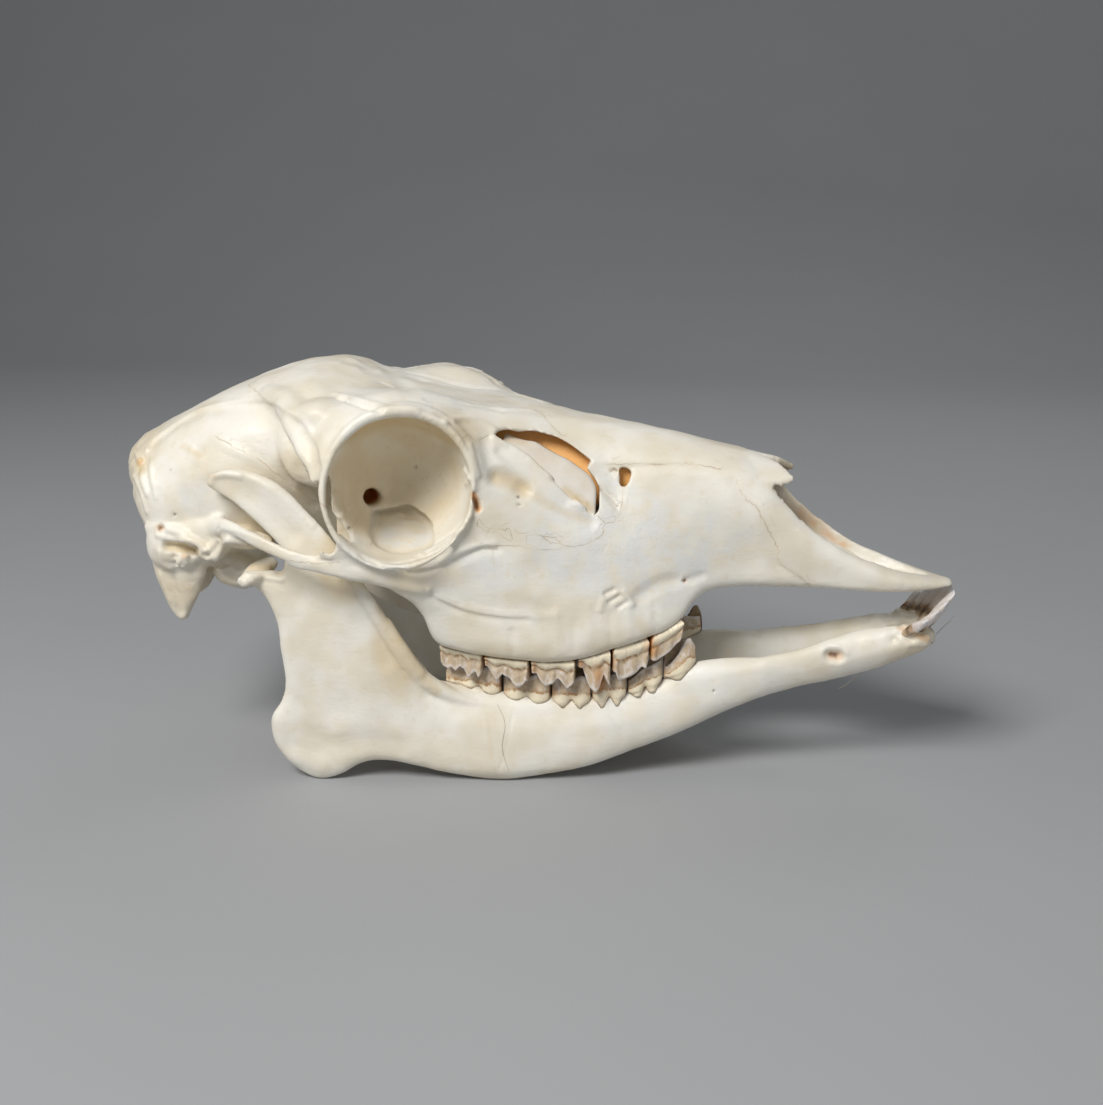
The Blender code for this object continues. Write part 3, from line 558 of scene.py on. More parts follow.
def thin_out(made: Piece, triangles: int) -> Piece:
    """Lowers the number of triangles where the surface is plain.

    Args:
        made: The object.
        triangles: The number that it may keep.

    Returns:
        The same object.
    """
    now = sum(len(face.vertices) - 2 for face in made.data.polygons)
    if now > triangles:
        thin = made.modifiers.new("Thin out", "DECIMATE")
        thin.ratio = triangles / now
        thin.use_collapse_triangulate = True
        settle(made)
    return made


# Strokes and paint on a finished skin.


def write_values(made: Piece, name: str, values: np.ndarray, kind: str = "FLOAT") -> None:
    """Writes numbers (FLOAT) or colours (FLOAT_COLOR) as an attribute of a mesh's vertices."""
    target = made.data.attributes.new(name, kind, "POINT")
    target.data.foreach_set("value" if kind == "FLOAT" else "color", values.astype(np.float32).ravel())


def cloud(places: np.ndarray, centre: Row, radii: Row) -> np.ndarray:
    """Gives a soft mask that is 1 in the middle of an oval and 0 outside it."""
    away = np.sqrt((((places - np.array(centre)) / np.array(radii)) ** 2).sum(1))
    return np.clip((1.0 - away) / 0.35, 0.0, 1.0)


@dataclass(frozen=True)
class Trace:
    """A line that lies on the bone: places in millimetres and the way the bone faces there."""

    places: np.ndarray
    facing: np.ndarray

    def mirrored(self) -> "Trace":
        """Gives the same line on the other half."""
        flip = np.array((1.0, -1.0, 1.0))
        return Trace(self.places * flip, self.facing * flip)


@dataclass(frozen=True)
class Stroke:
    """A ridge, groove, dent or step, drawn in picture points.

    A step pushes only the bone below its line (1) or above it (-1).
    """

    path: Path
    width: float
    height: float
    step: int = 0


class BoneSkin:
    """A finished bone's mesh, held as arrays so that strokes can push it and paint can mark it."""

    def __init__(self, made: Piece) -> None:
        """Reads the mesh of an object."""
        self.made = made
        self.refresh()

    def refresh(self) -> None:
        """Reads places, facings and the tree of faces again."""
        mesh = self.made.data
        count = len(mesh.vertices)
        flat = np.empty(count * 3, dtype=np.float32)
        mesh.vertices.foreach_get("co", flat)
        self.places = flat.reshape(-1, 3).astype(float) / MM
        self.places[:, 0] -= FORWARD_SHIFT
        mesh.vertices.foreach_get("normal", flat)
        self.facing = flat.reshape(-1, 3).astype(float)
        graph = bpy.context.evaluated_depsgraph_get()
        graph.update()
        self.tree = BVHTree.FromObject(self.made, graph)

    def write(self) -> None:
        """Puts the moved places back into the mesh."""
        moved = self.places.copy()
        moved[:, 0] += FORWARD_SHIFT
        self.made.data.vertices.foreach_set("co", (moved * MM).astype(np.float32).ravel())
        self.made.data.update()
        self.refresh()

    def keep_inside(self) -> None:
        """Pulls places that stick out of the solids' box back to it."""
        low, high = (np.array(corner) / MM for corner in SOLID_BOX)
        shift = np.array((FORWARD_SHIFT, 0.0, 0.0))
        self.places = np.clip(self.places, low - shift + BOX_MARGIN, high - shift - BOX_MARGIN)
        self.write()

    def trace(self, path: Path, spacing: float = 2.0) -> Trace:
        """Lays a path of picture points onto the bone.

        Args:
            path: Points of the photograph.
            spacing: Steps along it, in picture points.

        Returns:
            The line on the right half of the bone.
        """
        places, facing = [], []
        start = PHOTO.place()
        if len(path) == 1:
            spots = [list(path[0])]
        else:
            length = sum(math.dist(a, b) for a, b in zip(path, path[1:]))
            spans = max(1, round(length / spacing / (len(path) - 1)))
            spots = smooth_row(list(path), spans)
        for spot in spots:
            hit, normal, _, _ = self.tree.ray_cast(start, PHOTO.ray(spot))
            if hit is not None:
                places.append((hit.x / MM - FORWARD_SHIFT, hit.y / MM, hit.z / MM))
                facing.append(tuple(normal))
        if not places:
            return Trace(np.zeros((1, 3)) + FAR, np.array([[0.0, 0.0, 1.0]]))
        return Trace(np.array(places), np.array(facing))

    def near(self, line: Trace, reach: float) -> tuple[np.ndarray, np.ndarray, np.ndarray]:
        """Finds the vertices near a line.

        Args:
            line: The line on the bone.
            reach: The largest distance in millimetres.

        Returns:
            Their indices, their distances and the index of the line's nearest place for each.
        """
        low = line.places.min(0) - reach
        high = line.places.max(0) + reach
        chosen = np.nonzero(((self.places > low) & (self.places < high)).all(1))[0]
        best = np.full(len(chosen), FAR)
        which = np.zeros(len(chosen), dtype=int)
        for index, (place, normal) in enumerate(zip(line.places, line.facing)):
            gap = self.places[chosen] - place
            distance = np.sqrt((gap * gap).sum(1))
            distance[self.facing[chosen] @ normal < 0.1] = FAR
            closer = distance < best
            best[closer] = distance[closer]
            which[closer] = index
        inside = best < reach
        return chosen[inside], best[inside], which[inside]

    def beside(self, line: Trace, chosen: np.ndarray, which: np.ndarray) -> tuple[np.ndarray, np.ndarray]:
        """Measures how vertices lie to a line.

        Args:
            line: The line on the bone.
            chosen: Indices of the vertices.
            which: The index of the line's nearest place for each.

        Returns:
            How far they lie beside it, positive below it, and how far ahead along it.
        """
        ahead = np.gradient(line.places, axis=0)
        ahead /= np.linalg.norm(ahead, axis=1)[:, None] + 1e-9
        gap = self.places[chosen] - line.places[which]
        across = np.cross(ahead[which], line.facing[which])
        return (gap * across).sum(1), (gap * ahead[which]).sum(1)

    def push(self, line: Trace, width: float, height: float, step: int = 0) -> None:
        """Raises or sinks the bone along a line.

        Args:
            line: The line on the bone.
            width: Distance at which the push has faded out.
            height: Push outwards at the line, negative for inwards.
            step: 1 or -1 where only one side of the line is pushed.
        """
        chosen, distance, which = self.near(line, width)
        fade = (1.0 - (distance / width) ** 2) ** 2
        if step and len(line.places) > 1 and len(chosen):
            fade *= np.clip(self.beside(line, chosen, which)[0] * step / 1.1 + 0.5, 0.0, 1.0)
        ways = line.facing[which] * 0.5 + self.facing[chosen] * 0.5
        self.places[chosen] += ways * (fade * height)[:, None]

    def stroke(self, strokes: tuple[Stroke, ...], guide: "BoneSkin | None" = None) -> None:
        """Pushes strokes into both halves, and then reads the new shape.

        Args:
            strokes: The strokes.
            guide: The right half that they are laid on, where this bone is a left half.
        """
        for one in strokes:
            line = (guide or self).trace(one.path)
            self.push(line, one.width, one.height, one.step)
            self.push(line.mirrored(), one.width, one.height, -one.step)
        self.write()

    def roughen(self, size: float, height: float, where: np.ndarray | float = 1.0) -> None:
        """Gives the bone uneven swellings.

        Args:
            size: Their size in millimetres.
            height: Their height.
            where: A mask of the vertices, or 1 for all of them.
        """
        lumps = np.array([noise.noise(Vector(place)) for place in self.places / size])
        self.places += self.facing * (lumps * height * where)[:, None]
        self.write()


class BonePaint:
    """Masks on a bone's vertices that its material reads."""

    def __init__(self, bone: BoneSkin, guide: BoneSkin | None = None) -> None:
        """Starts with blank masks.

        Args:
            bone: The bone to paint.
            guide: The right half that lines are laid on, where the bone is a left half.
        """
        self.bone = bone
        self.guide = guide or bone
        count = len(bone.places)
        self.offset = np.full((2, count), NO_SEAM)
        self.close = np.zeros((2, count))
        self.tint = np.zeros((count, 4))
        self.rough = np.zeros(count)

    def seam(self, path: Path, layer: int = 0, reach: float = 3.0) -> None:
        """Marks a suture on both halves as a signed distance from its line.

        Args:
            path: The suture in picture points.
            layer: Which of the two sets of masks holds it.
            reach: How far from the line the distance is kept.
        """
        right = self.guide.trace(path)
        for line in (right, right.mirrored()):
            chosen, distance, which = self.bone.near(line, reach)
            if len(line.places) < 2 or not len(chosen):
                continue
            signed, along = self.bone.beside(line, chosen, which)
            ends = (which == 0) & (along < 0) | (which == len(line.places) - 1) & (along > 0)
            weight = np.clip((reach - distance) / (reach * 0.4), 0.0, 1.0)
            weight[ends] *= np.clip(1.0 - np.abs(along[ends]) / 1.0, 0.0, 1.0)
            better = weight > self.close[layer, chosen]
            self.offset[layer, chosen[better]] = signed[better]
            self.close[layer, chosen[better]] = weight[better]

    def blots(self, tint: Tint, patches: list[tuple[Path, float, float]]) -> None:
        """Adds soft patches of colour on both halves.

        Args:
            tint: The stain.
            patches: Middle line in picture points, reach in millimetres and strength of each.
        """
        for path, size, strength in patches:
            right = self.guide.trace(path)
            for line in (right, right.mirrored()):
                chosen, distance, _ = self.bone.near(line, size)
                fade = (1.0 - (distance / size) ** 2) ** 2 * strength
                self.tint[chosen, tint] = np.maximum(self.tint[chosen, tint], fade)

    def region(self, tint: Tint, amount: np.ndarray) -> None:
        """Adds a mask that is already known for every vertex."""
        self.tint[:, tint] = np.maximum(self.tint[:, tint], amount)

    def tints(self, table: dict[Tint, list[tuple[Row, Row, float]]], side: Side) -> None:
        """Adds soft oval tints on one half.

        Args:
            table: Centre on the left half, radii and strength of each, by tint.
            side: The half of the skull.
        """
        for tint, ovals in table.items():
            for (x, y, z), radii, strength in ovals:
                self.region(tint, cloud(self.bone.places, (x, side.value * y, z), radii) * strength)

    def store(self) -> None:
        """Writes the masks as attributes of the mesh."""
        for layer in range(2):
            write_values(self.bone.made, f"seam_offset_{layer}", self.offset[layer])
            write_values(self.bone.made, f"seam_near_{layer}", self.close[layer])
        write_values(self.bone.made, "tint", np.clip(self.tint, 0.0, 1.0), "FLOAT_COLOR")
        write_values(self.bone.made, "porous", np.clip(self.rough, 0.0, 1.0))


# Materials.


class Bench:
    """Puts nodes into one node tree."""

    def __init__(self, tree: Tree) -> None:
        """Takes the tree to work in."""
        self.tree = tree

    def node(self, kind: str, **settings: object) -> Node:
        """Adds a node and sets its properties.

        Args:
            kind: The node's type.
            settings: Properties by name.

        Returns:
            The node.
        """
        made = self.tree.nodes.new(kind)
        for name, value in settings.items():
            setattr(made, name, value)
        return made

    def join(self, source: Value, target: Socket) -> None:
        """Links a socket, or sets a plain value, into an input socket.

        Args:
            source: A socket or a plain value.
            target: The input socket.
        """
        if isinstance(source, Socket):
            self.tree.links.new(source, target)
        else:
            target.default_value = source

    def attribute(self, name: str) -> Socket:
        """Gives a plain attribute of the mesh."""
        return self.node("ShaderNodeAttribute", attribute_name=name).outputs["Fac"]

    def maths(self, operation: str, first: Value, second: Value = 0.0, clamp: bool = False) -> Socket:
        """Adds a Math node and gives its result.

        Args:
            operation: What it does.
            first: Its first value.
            second: Its second value.
            clamp: Whether the result stays from 0 to 1.

        Returns:
            The result.
        """
        made = self.node("ShaderNodeMath", operation=operation, use_clamp=clamp)
        self.join(first, made.inputs[0])
        self.join(second, made.inputs[1])
        return made.outputs[0]

    def times(self, first: Value, second: Value) -> Socket:
        """Multiplies two values."""
        return self.maths("MULTIPLY", first, second)

    def mix(self, share: Value, first: Value, second: Value) -> Socket:
        """Mixes two colours by a share and gives the result.

        Args:
            share: How much of the second colour shows.
            first: The first colour.
            second: The second colour.

        Returns:
            The mixed colour.
        """
        made = self.node("ShaderNodeMix", data_type="RGBA")
        self.join(share, made.inputs[0])
        self.join(first, made.inputs[6])
        self.join(second, made.inputs[7])
        return made.outputs[2]

    def ramp(self, value: Value, low: float, high: float, to_low: float = 0.0,
             to_high: float = 1.0) -> Socket:
        """Maps a value smoothly from one range to another.

        Args:
            value: The value.
            low: Where the first range starts.
            high: Where it ends.
            to_low: The result at its start.
            to_high: The result at its end.

        Returns:
            The result.
        """
        made = self.node("ShaderNodeMapRange", interpolation_type="SMOOTHSTEP")
        self.join(value, made.inputs["Value"])
        made.inputs["From Min"].default_value = low
        made.inputs["From Max"].default_value = high
        made.inputs["To Min"].default_value = to_low
        made.inputs["To Max"].default_value = to_high
        return made.outputs["Result"]

    def noise(self, place: Socket, scale: float, detail: float = 3.0, roughness: float = 0.55) -> Socket:
        """Gives the value of a noise texture.

        Args:
            place: Where it is read.
            scale: How fine it is.
            detail: How many finer layers it has.
            roughness: How strong those are.

        Returns:
            The value, 0 to 1.
        """
        made = self.node("ShaderNodeTexNoise")
        self.join(place, made.inputs["Vector"])
        made.inputs["Scale"].default_value = scale
        made.inputs["Detail"].default_value = detail
        made.inputs["Roughness"].default_value = roughness
        return made.outputs["Fac"]

    def stretched(self, place: Socket, stretch: Row) -> Socket:
        """Gives a place that is stretched along the axes.

        Args:
            place: The place.
            stretch: Factors along X, Y and Z.

        Returns:
            The stretched place.
        """
        made = self.node("ShaderNodeMapping")
        self.join(place, made.inputs["Vector"])
        made.inputs["Scale"].default_value = stretch
        return made.outputs["Vector"]

    def bump(self, height: Socket, strength: float, distance: float, shader: Node) -> None:
        """Lets a height shape a shader's surface.

        Args:
            height: The height.
            strength: How much it counts.
            distance: Its reach in metres.
            shader: The shader.
        """
        made = self.node("ShaderNodeBump")
        made.inputs["Strength"].default_value = strength
        made.inputs["Distance"].default_value = distance
        self.join(height, made.inputs["Height"])
        self.join(made.outputs["Normal"], shader.inputs["Normal"])


def new_material(name: str) -> tuple[Material, Bench, Node, Socket]:
    """Starts a material and gives it with its bench, its shader and the place on the object.

    Args:
        name: Name of the material.

    Returns:
        The material, its bench, its shader and the place.
    """
    material = bpy.data.materials.new(name)
    material.use_nodes = True
    bench = Bench(material.node_tree)
    place = bench.node("ShaderNodeTexCoord").outputs["Object"]
    return material, bench, material.node_tree.nodes["Principled BSDF"], place


def new_group(name: str, inputs: list[tuple[str, str, object]],
              outputs: list[tuple[str, str]]) -> tuple[Bench, dict[str, Socket], dict[str, Socket]]:
    """Starts a shader node group.

    Args:
        name: Name of the group.
        inputs: Name, socket kind and value of each input.
        outputs: Name and socket kind of each output.

    Returns:
        A bench for the group, its input sockets and its output sockets by name.
    """
    tree = bpy.data.node_groups.new(name, "ShaderNodeTree")
    for label, kind, value in inputs:
        made = tree.interface.new_socket(name=label, in_out="INPUT", socket_type=kind)
        if value is not None:
            made.default_value = value
    for label, kind in outputs:
        tree.interface.new_socket(name=label, in_out="OUTPUT", socket_type=kind)
    source = tree.nodes.new("NodeGroupInput")
    sink = tree.nodes.new("NodeGroupOutput")
    return Bench(tree), {s.name: s for s in source.outputs}, {s.name: s for s in sink.inputs}


def make_grain_group() -> Tree:
    """Builds the group that gives bone its patches, fibres and pores.

    Returns:
        The group.
    """
    bench, give, take = new_group(
        "Bone grain",
        [("Place", "NodeSocketVector", None), ("Porous", "NodeSocketFloat", 0.0)],
        [("Patches", "NodeSocketFloat"), ("Fleck", "NodeSocketFloat"), ("Height", "NodeSocketFloat")],
    )
    place = give["Place"]
    patches = bench.noise(place, 60.0, 2.0, 0.5)
    bench.join(bench.ramp(patches, 0.36, 0.66), take["Patches"])
    fleck = bench.noise(place, 330.0, 2.0, 0.65)
    bench.join(bench.ramp(fleck, 0.55, 0.75), take["Fleck"])
    fibres = bench.noise(bench.stretched(place, (1.0, 2.2, 2.2)), 230.0, 3.0, 0.62)
    pits = bench.ramp(bench.noise(place, 900.0, 1.0, 0.5), 0.30, 0.44, 1.0, 0.0)
    height = bench.maths("ADD", bench.times(fibres, 0.6), bench.times(patches, 0.4))
    sunk = bench.times(bench.times(pits, give["Porous"]), 0.22)
    bench.join(bench.maths("SUBTRACT", height, sunk), take["Height"])
    return bench.tree


def make_seam_group() -> Tree:
    """Builds the group that turns signed distances into fine wandering suture lines and straighter cracks.

    Returns:
        The group.
    """
    inputs = [("Place", "NodeSocketVector", None)]
    for layer in (0, 1):
        inputs.append((f"Offset {layer}", "NodeSocketFloat", NO_SEAM))
        inputs.append((f"Near {layer}", "NodeSocketFloat", 0.0))
    outputs = [("Line", "NodeSocketFloat"), ("Halo", "NodeSocketFloat")]
    bench, give, take = new_group("Suture lines", inputs, outputs)
    coarse = bench.maths("SUBTRACT", bench.noise(give["Place"], 620.0, 1.0, 0.6), 0.5)
    strength = bench.ramp(bench.noise(give["Place"], 230.0, 0.0), 0.36, 0.6, 0.3, 1.0)
    lines, halos = [], []
    halo_width = 1.3
    for layer, wander, width in ((0, 1.5, 0.17), (1, 0.4, 0.13)):
        shifted = bench.maths("ADD", give[f"Offset {layer}"], bench.times(coarse, wander))
        away = bench.maths("ABSOLUTE", shifted)
        near = give[f"Near {layer}"]
        inside, around = (bench.maths("SUBTRACT", 1.0, bench.maths("DIVIDE", away, reach), clamp=True)
                          for reach in (width, halo_width))
        lines.append(bench.times(bench.times(inside, strength), near))
        halos.append(bench.times(around, near))
    bench.join(bench.maths("MAXIMUM", *lines), take["Line"])
    bench.join(bench.maths("MAXIMUM", *halos), take["Halo"])
    return bench.tree


@dataclass(frozen=True)
class BoneFinish:
    """Dry cleaned bone, with painted shade in its holes and tan painted shade in its hollows."""

    name: str
    cream: Colour = (0.80, 0.735, 0.60, 1.0)
    pale: Colour = (0.88, 0.85, 0.77, 1.0)
    cool: Colour = (0.77, 0.775, 0.76, 1.0)
    # Real warm stains and flecks, also the tan of painted shade in hollows.
    warm: Colour = (0.66, 0.50, 0.26, 1.0)
    orange: Colour = (0.70, 0.29, 0.035, 1.0)
    # Painted shade inside holes.
    dark: Colour = (0.085, 0.030, 0.010, 1.0)
    seam: Colour = (0.36, 0.25, 0.13, 1.0)
    gloss: float = 0.40
    relief: float = 0.00032

    def build(self, grain: Tree, seam: Tree) -> Material:
        """Makes the material.

        Args:
            grain: The bone grain group.
            seam: The suture line group.

        Returns:
            The material.
        """
        material, bench, shader, place = new_material(self.name)
        tint = bench.node("ShaderNodeAttribute", attribute_name="tint")
        parts = bench.node("ShaderNodeSeparateColor")
        bench.join(tint.outputs["Color"], parts.inputs[0])
        warm, orange, dark = parts.outputs
        fibre = bench.node("ShaderNodeGroup", node_tree=grain)
        bench.join(place, fibre.inputs["Place"])
        bench.join(bench.attribute("porous"), fibre.inputs["Porous"])
        patches, fleck, height = (fibre.outputs[n] for n in ("Patches", "Fleck", "Height"))
        lines = bench.node("ShaderNodeGroup", node_tree=seam)
        bench.join(place, lines.inputs["Place"])
        for layer in (0, 1):
            bench.join(bench.attribute(f"seam_offset_{layer}"), lines.inputs[f"Offset {layer}"])
            bench.join(bench.attribute(f"seam_near_{layer}"), lines.inputs[f"Near {layer}"])
        line = lines.outputs["Line"]
        broken = bench.ramp(bench.noise(place, 130.0, 3.0, 0.6), 0.36, 0.62, 0.1, 1.0)
        mottled = bench.maths("ADD", bench.times(fleck, 0.3), 0.7)
        colour = bench.mix(patches, self.cream, self.pale)
        for share, tone in (
            (bench.times(tint.outputs["Alpha"], broken), self.cool),
            (bench.times(fleck, 0.16), self.warm),
            # Real warm stains, and tan painted shade in hollows.
            (bench.times(warm, mottled), self.warm),
            (orange, self.orange),
            (bench.times(lines.outputs["Halo"], 0.12), self.warm),
            (bench.times(line, 0.5), self.seam),
            # Painted shade inside holes.
            (dark, self.dark),
        ):
            colour = bench.mix(share, colour, tone)
        bench.join(colour, shader.inputs["Base Color"])
        roughness = bench.ramp(height, 0.2, 0.9, self.gloss - 0.08, self.gloss + 0.2)
        bench.join(roughness, shader.inputs["Roughness"])
        shader.inputs["Specular IOR Level"].default_value = 0.45
        bench.bump(bench.maths("SUBTRACT", height, bench.times(line, 0.45)), 0.7, self.relief, shader)
        return material


@dataclass(frozen=True)
class EnamelFinish:
    """Worn tooth: a cream collar, brown tartar under it and in the furrows, milky points, and dark painted
    shade between the teeth and where they meet the bone.
    """

    name: str
    neck: Colour = (0.90, 0.80, 0.60, 1.0)
    crown: Colour = (0.62, 0.49, 0.34, 1.0)
    milky: Colour = (0.82, 0.76, 0.71, 1.0)
    tartar: Colour = (0.40, 0.19, 0.05, 1.0)
    stain: Colour = (0.62, 0.24, 0.03, 1.0)
    # Painted shade between teeth and at the bone.
    gap: Colour = (0.085, 0.035, 0.012, 1.0)
    worn: Colour = (0.40, 0.30, 0.18, 1.0)
    neck_end: float = 0.36
    gloss: float = 0.24
    relief: float = 0.00035

    def build(self) -> Material:
        """Makes the material, which reads the tooth's own masks.

        Returns:
            The material.
        """
        material, bench, shader, place = new_material(self.name)
        mark = bench.node("ShaderNodeAttribute", attribute_name="tooth")
        parts = bench.node("ShaderNodeSeparateColor")
        bench.join(mark.outputs["Color"], parts.inputs[0])
        level, furrow_and_gap_shade, chewed = parts.outputs
        blotch = bench.noise(place, 420.0, 3.0, 0.65)
        streak = bench.noise(bench.stretched(place, (2.0, 2.0, 0.8)), 460.0, 2.0, 0.6)
        wavy = bench.maths("ADD", level, bench.times(bench.maths("SUBTRACT", blotch, 0.5), 0.34))
        end = self.neck_end
        edge_above = bench.ramp(wavy, end - 0.05, end + 0.01)
        edge = bench.times(edge_above, bench.ramp(wavy, end + 0.02, end + 0.14, 1.0, 0.0))
        body = bench.mix(bench.ramp(wavy, end - 0.04, end + 0.06), self.neck, self.crown)
        for share, tone in (
            (bench.times(bench.ramp(streak, 0.48, 0.66, 0.0, 0.6), bench.ramp(wavy, end, 0.6)), self.milky),
            (bench.ramp(wavy, 0.78, 0.95, 0.0, 0.85), self.milky),
            (bench.times(edge, bench.ramp(streak, 0.4, 0.62, 0.1, 0.85)), self.tartar),
            (bench.times(furrow_and_gap_shade, bench.ramp(blotch, 0.3, 0.6, 0.35, 0.9)), self.tartar),
            # Painted shade at the tooth's ends, between neighbours.
            (bench.ramp(furrow_and_gap_shade, 0.75, 1.0), self.gap),
            # Painted shade where the tooth meets the bone.
            (bench.times(mark.outputs["Alpha"], bench.ramp(blotch, 0.25, 0.6, 0.35, 0.95)), self.gap),
            (bench.times(chewed, 0.85), self.worn),
            (bench.times(bench.attribute("stain"), bench.ramp(blotch, 0.3, 0.55, 0.6, 1.0)), self.stain),
        ):
            body = bench.mix(share, body, tone)
        bench.join(body, shader.inputs["Base Color"])
        bench.join(bench.ramp(blotch, 0.2, 0.8, self.gloss, self.gloss + 0.22), shader.inputs["Roughness"])
        bench.bump(bench.maths("ADD", blotch, streak), 0.8, self.relief, shader)
        return material


@dataclass(frozen=True)
class PlainFinish:
    """A finish with a fine even mottle, for hairs and the floor."""

    name: str
    colour: Colour
    second: Colour
    scale: float
    gloss: float

    def build(self) -> Material:
        """Makes the material.

        Returns:
            The material.
        """
        material, bench, shader, place = new_material(self.name)
        mottle = bench.mix(bench.noise(place, self.scale), self.colour, self.second)
        bench.join(mottle, shader.inputs["Base Color"])
        shader.inputs["Roughness"].default_value = self.gloss
        return material


def dress(made: Piece, material: Material, slot: str, *nodes: str) -> Piece:
    """Gives a finished piece its material and body, and hides the CAD nodes that it stands for.

    Args:
        made: The piece.
        material: Its material.
        slot: Not used.
        nodes: CAD nodes that it replaces.

    Returns:
        The piece.
    """
    made.data.materials.clear()
    made.data.materials.append(material)
    made.data.shade_smooth()
    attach(made, BODY)
    if nodes:
        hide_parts(*nodes)
    LOG.info("%s: %d faces", made.name, len(made.data.polygons))
    return made


# Upper skull.

# Half outlines of the braincase, from the middle of the top to the middle of the bottom.
BRAINCASE = {
    -137.2: [(0, 98), (4, 97.6), (6.5, 96.6), (7, 95.2), (6, 93.6), (3, 92.6), (0, 92.4)],
    -135: [(0, 100.8), (8, 100.2), (14, 97.5), (15.5, 94), (13, 90), (7, 87.5), (0, 87)],
    -131.5: [(0, 103.4), (12, 102.2), (21, 98), (23.5, 91.5), (20, 84), (10, 80.5), (0, 80)],
    -127: [(0, 106), (14, 104.6), (25, 99.5), (29.5, 90), (27, 79), (14, 73), (0, 72)],
    -122.5: [(0, 108.6), (15, 107.2), (26, 101.7), (32, 90), (31, 76), (19, 66), (0, 63)],
    -116: [(0, 112), (16, 110.3), (26, 105), (34, 92), (34, 76), (23, 64), (0, 60)],
    -108: [(0, 116), (17, 114), (26, 108.5), (35, 94), (34, 78), (23, 65), (0, 60)],
    -98: [(0, 120.5), (17, 118.3), (26.5, 112.5), (35.5, 97), (34, 80), (21, 67), (0, 61)],
    -88: [(0, 124.3), (18, 121.8), (27, 115), (34.5, 99), (32, 83), (19, 69), (0, 62.5)],
    -78: [(0, 127.2), (19, 124.3), (29, 117), (31.5, 101), (28, 85), (17, 71), (0, 64)],
    -70: [(0, 128.2), (22, 124.9), (33, 118), (27.5, 102), (23, 87), (15, 73), (0, 65)],
    -62: [(0, 127), (24, 122.5), (34, 116), (24, 103), (19, 88), (13, 74), (0, 66)],
    -55: [(0, 124), (18, 119), (24, 112), (18, 102), (15, 88), (11, 74), (0, 66)],
}

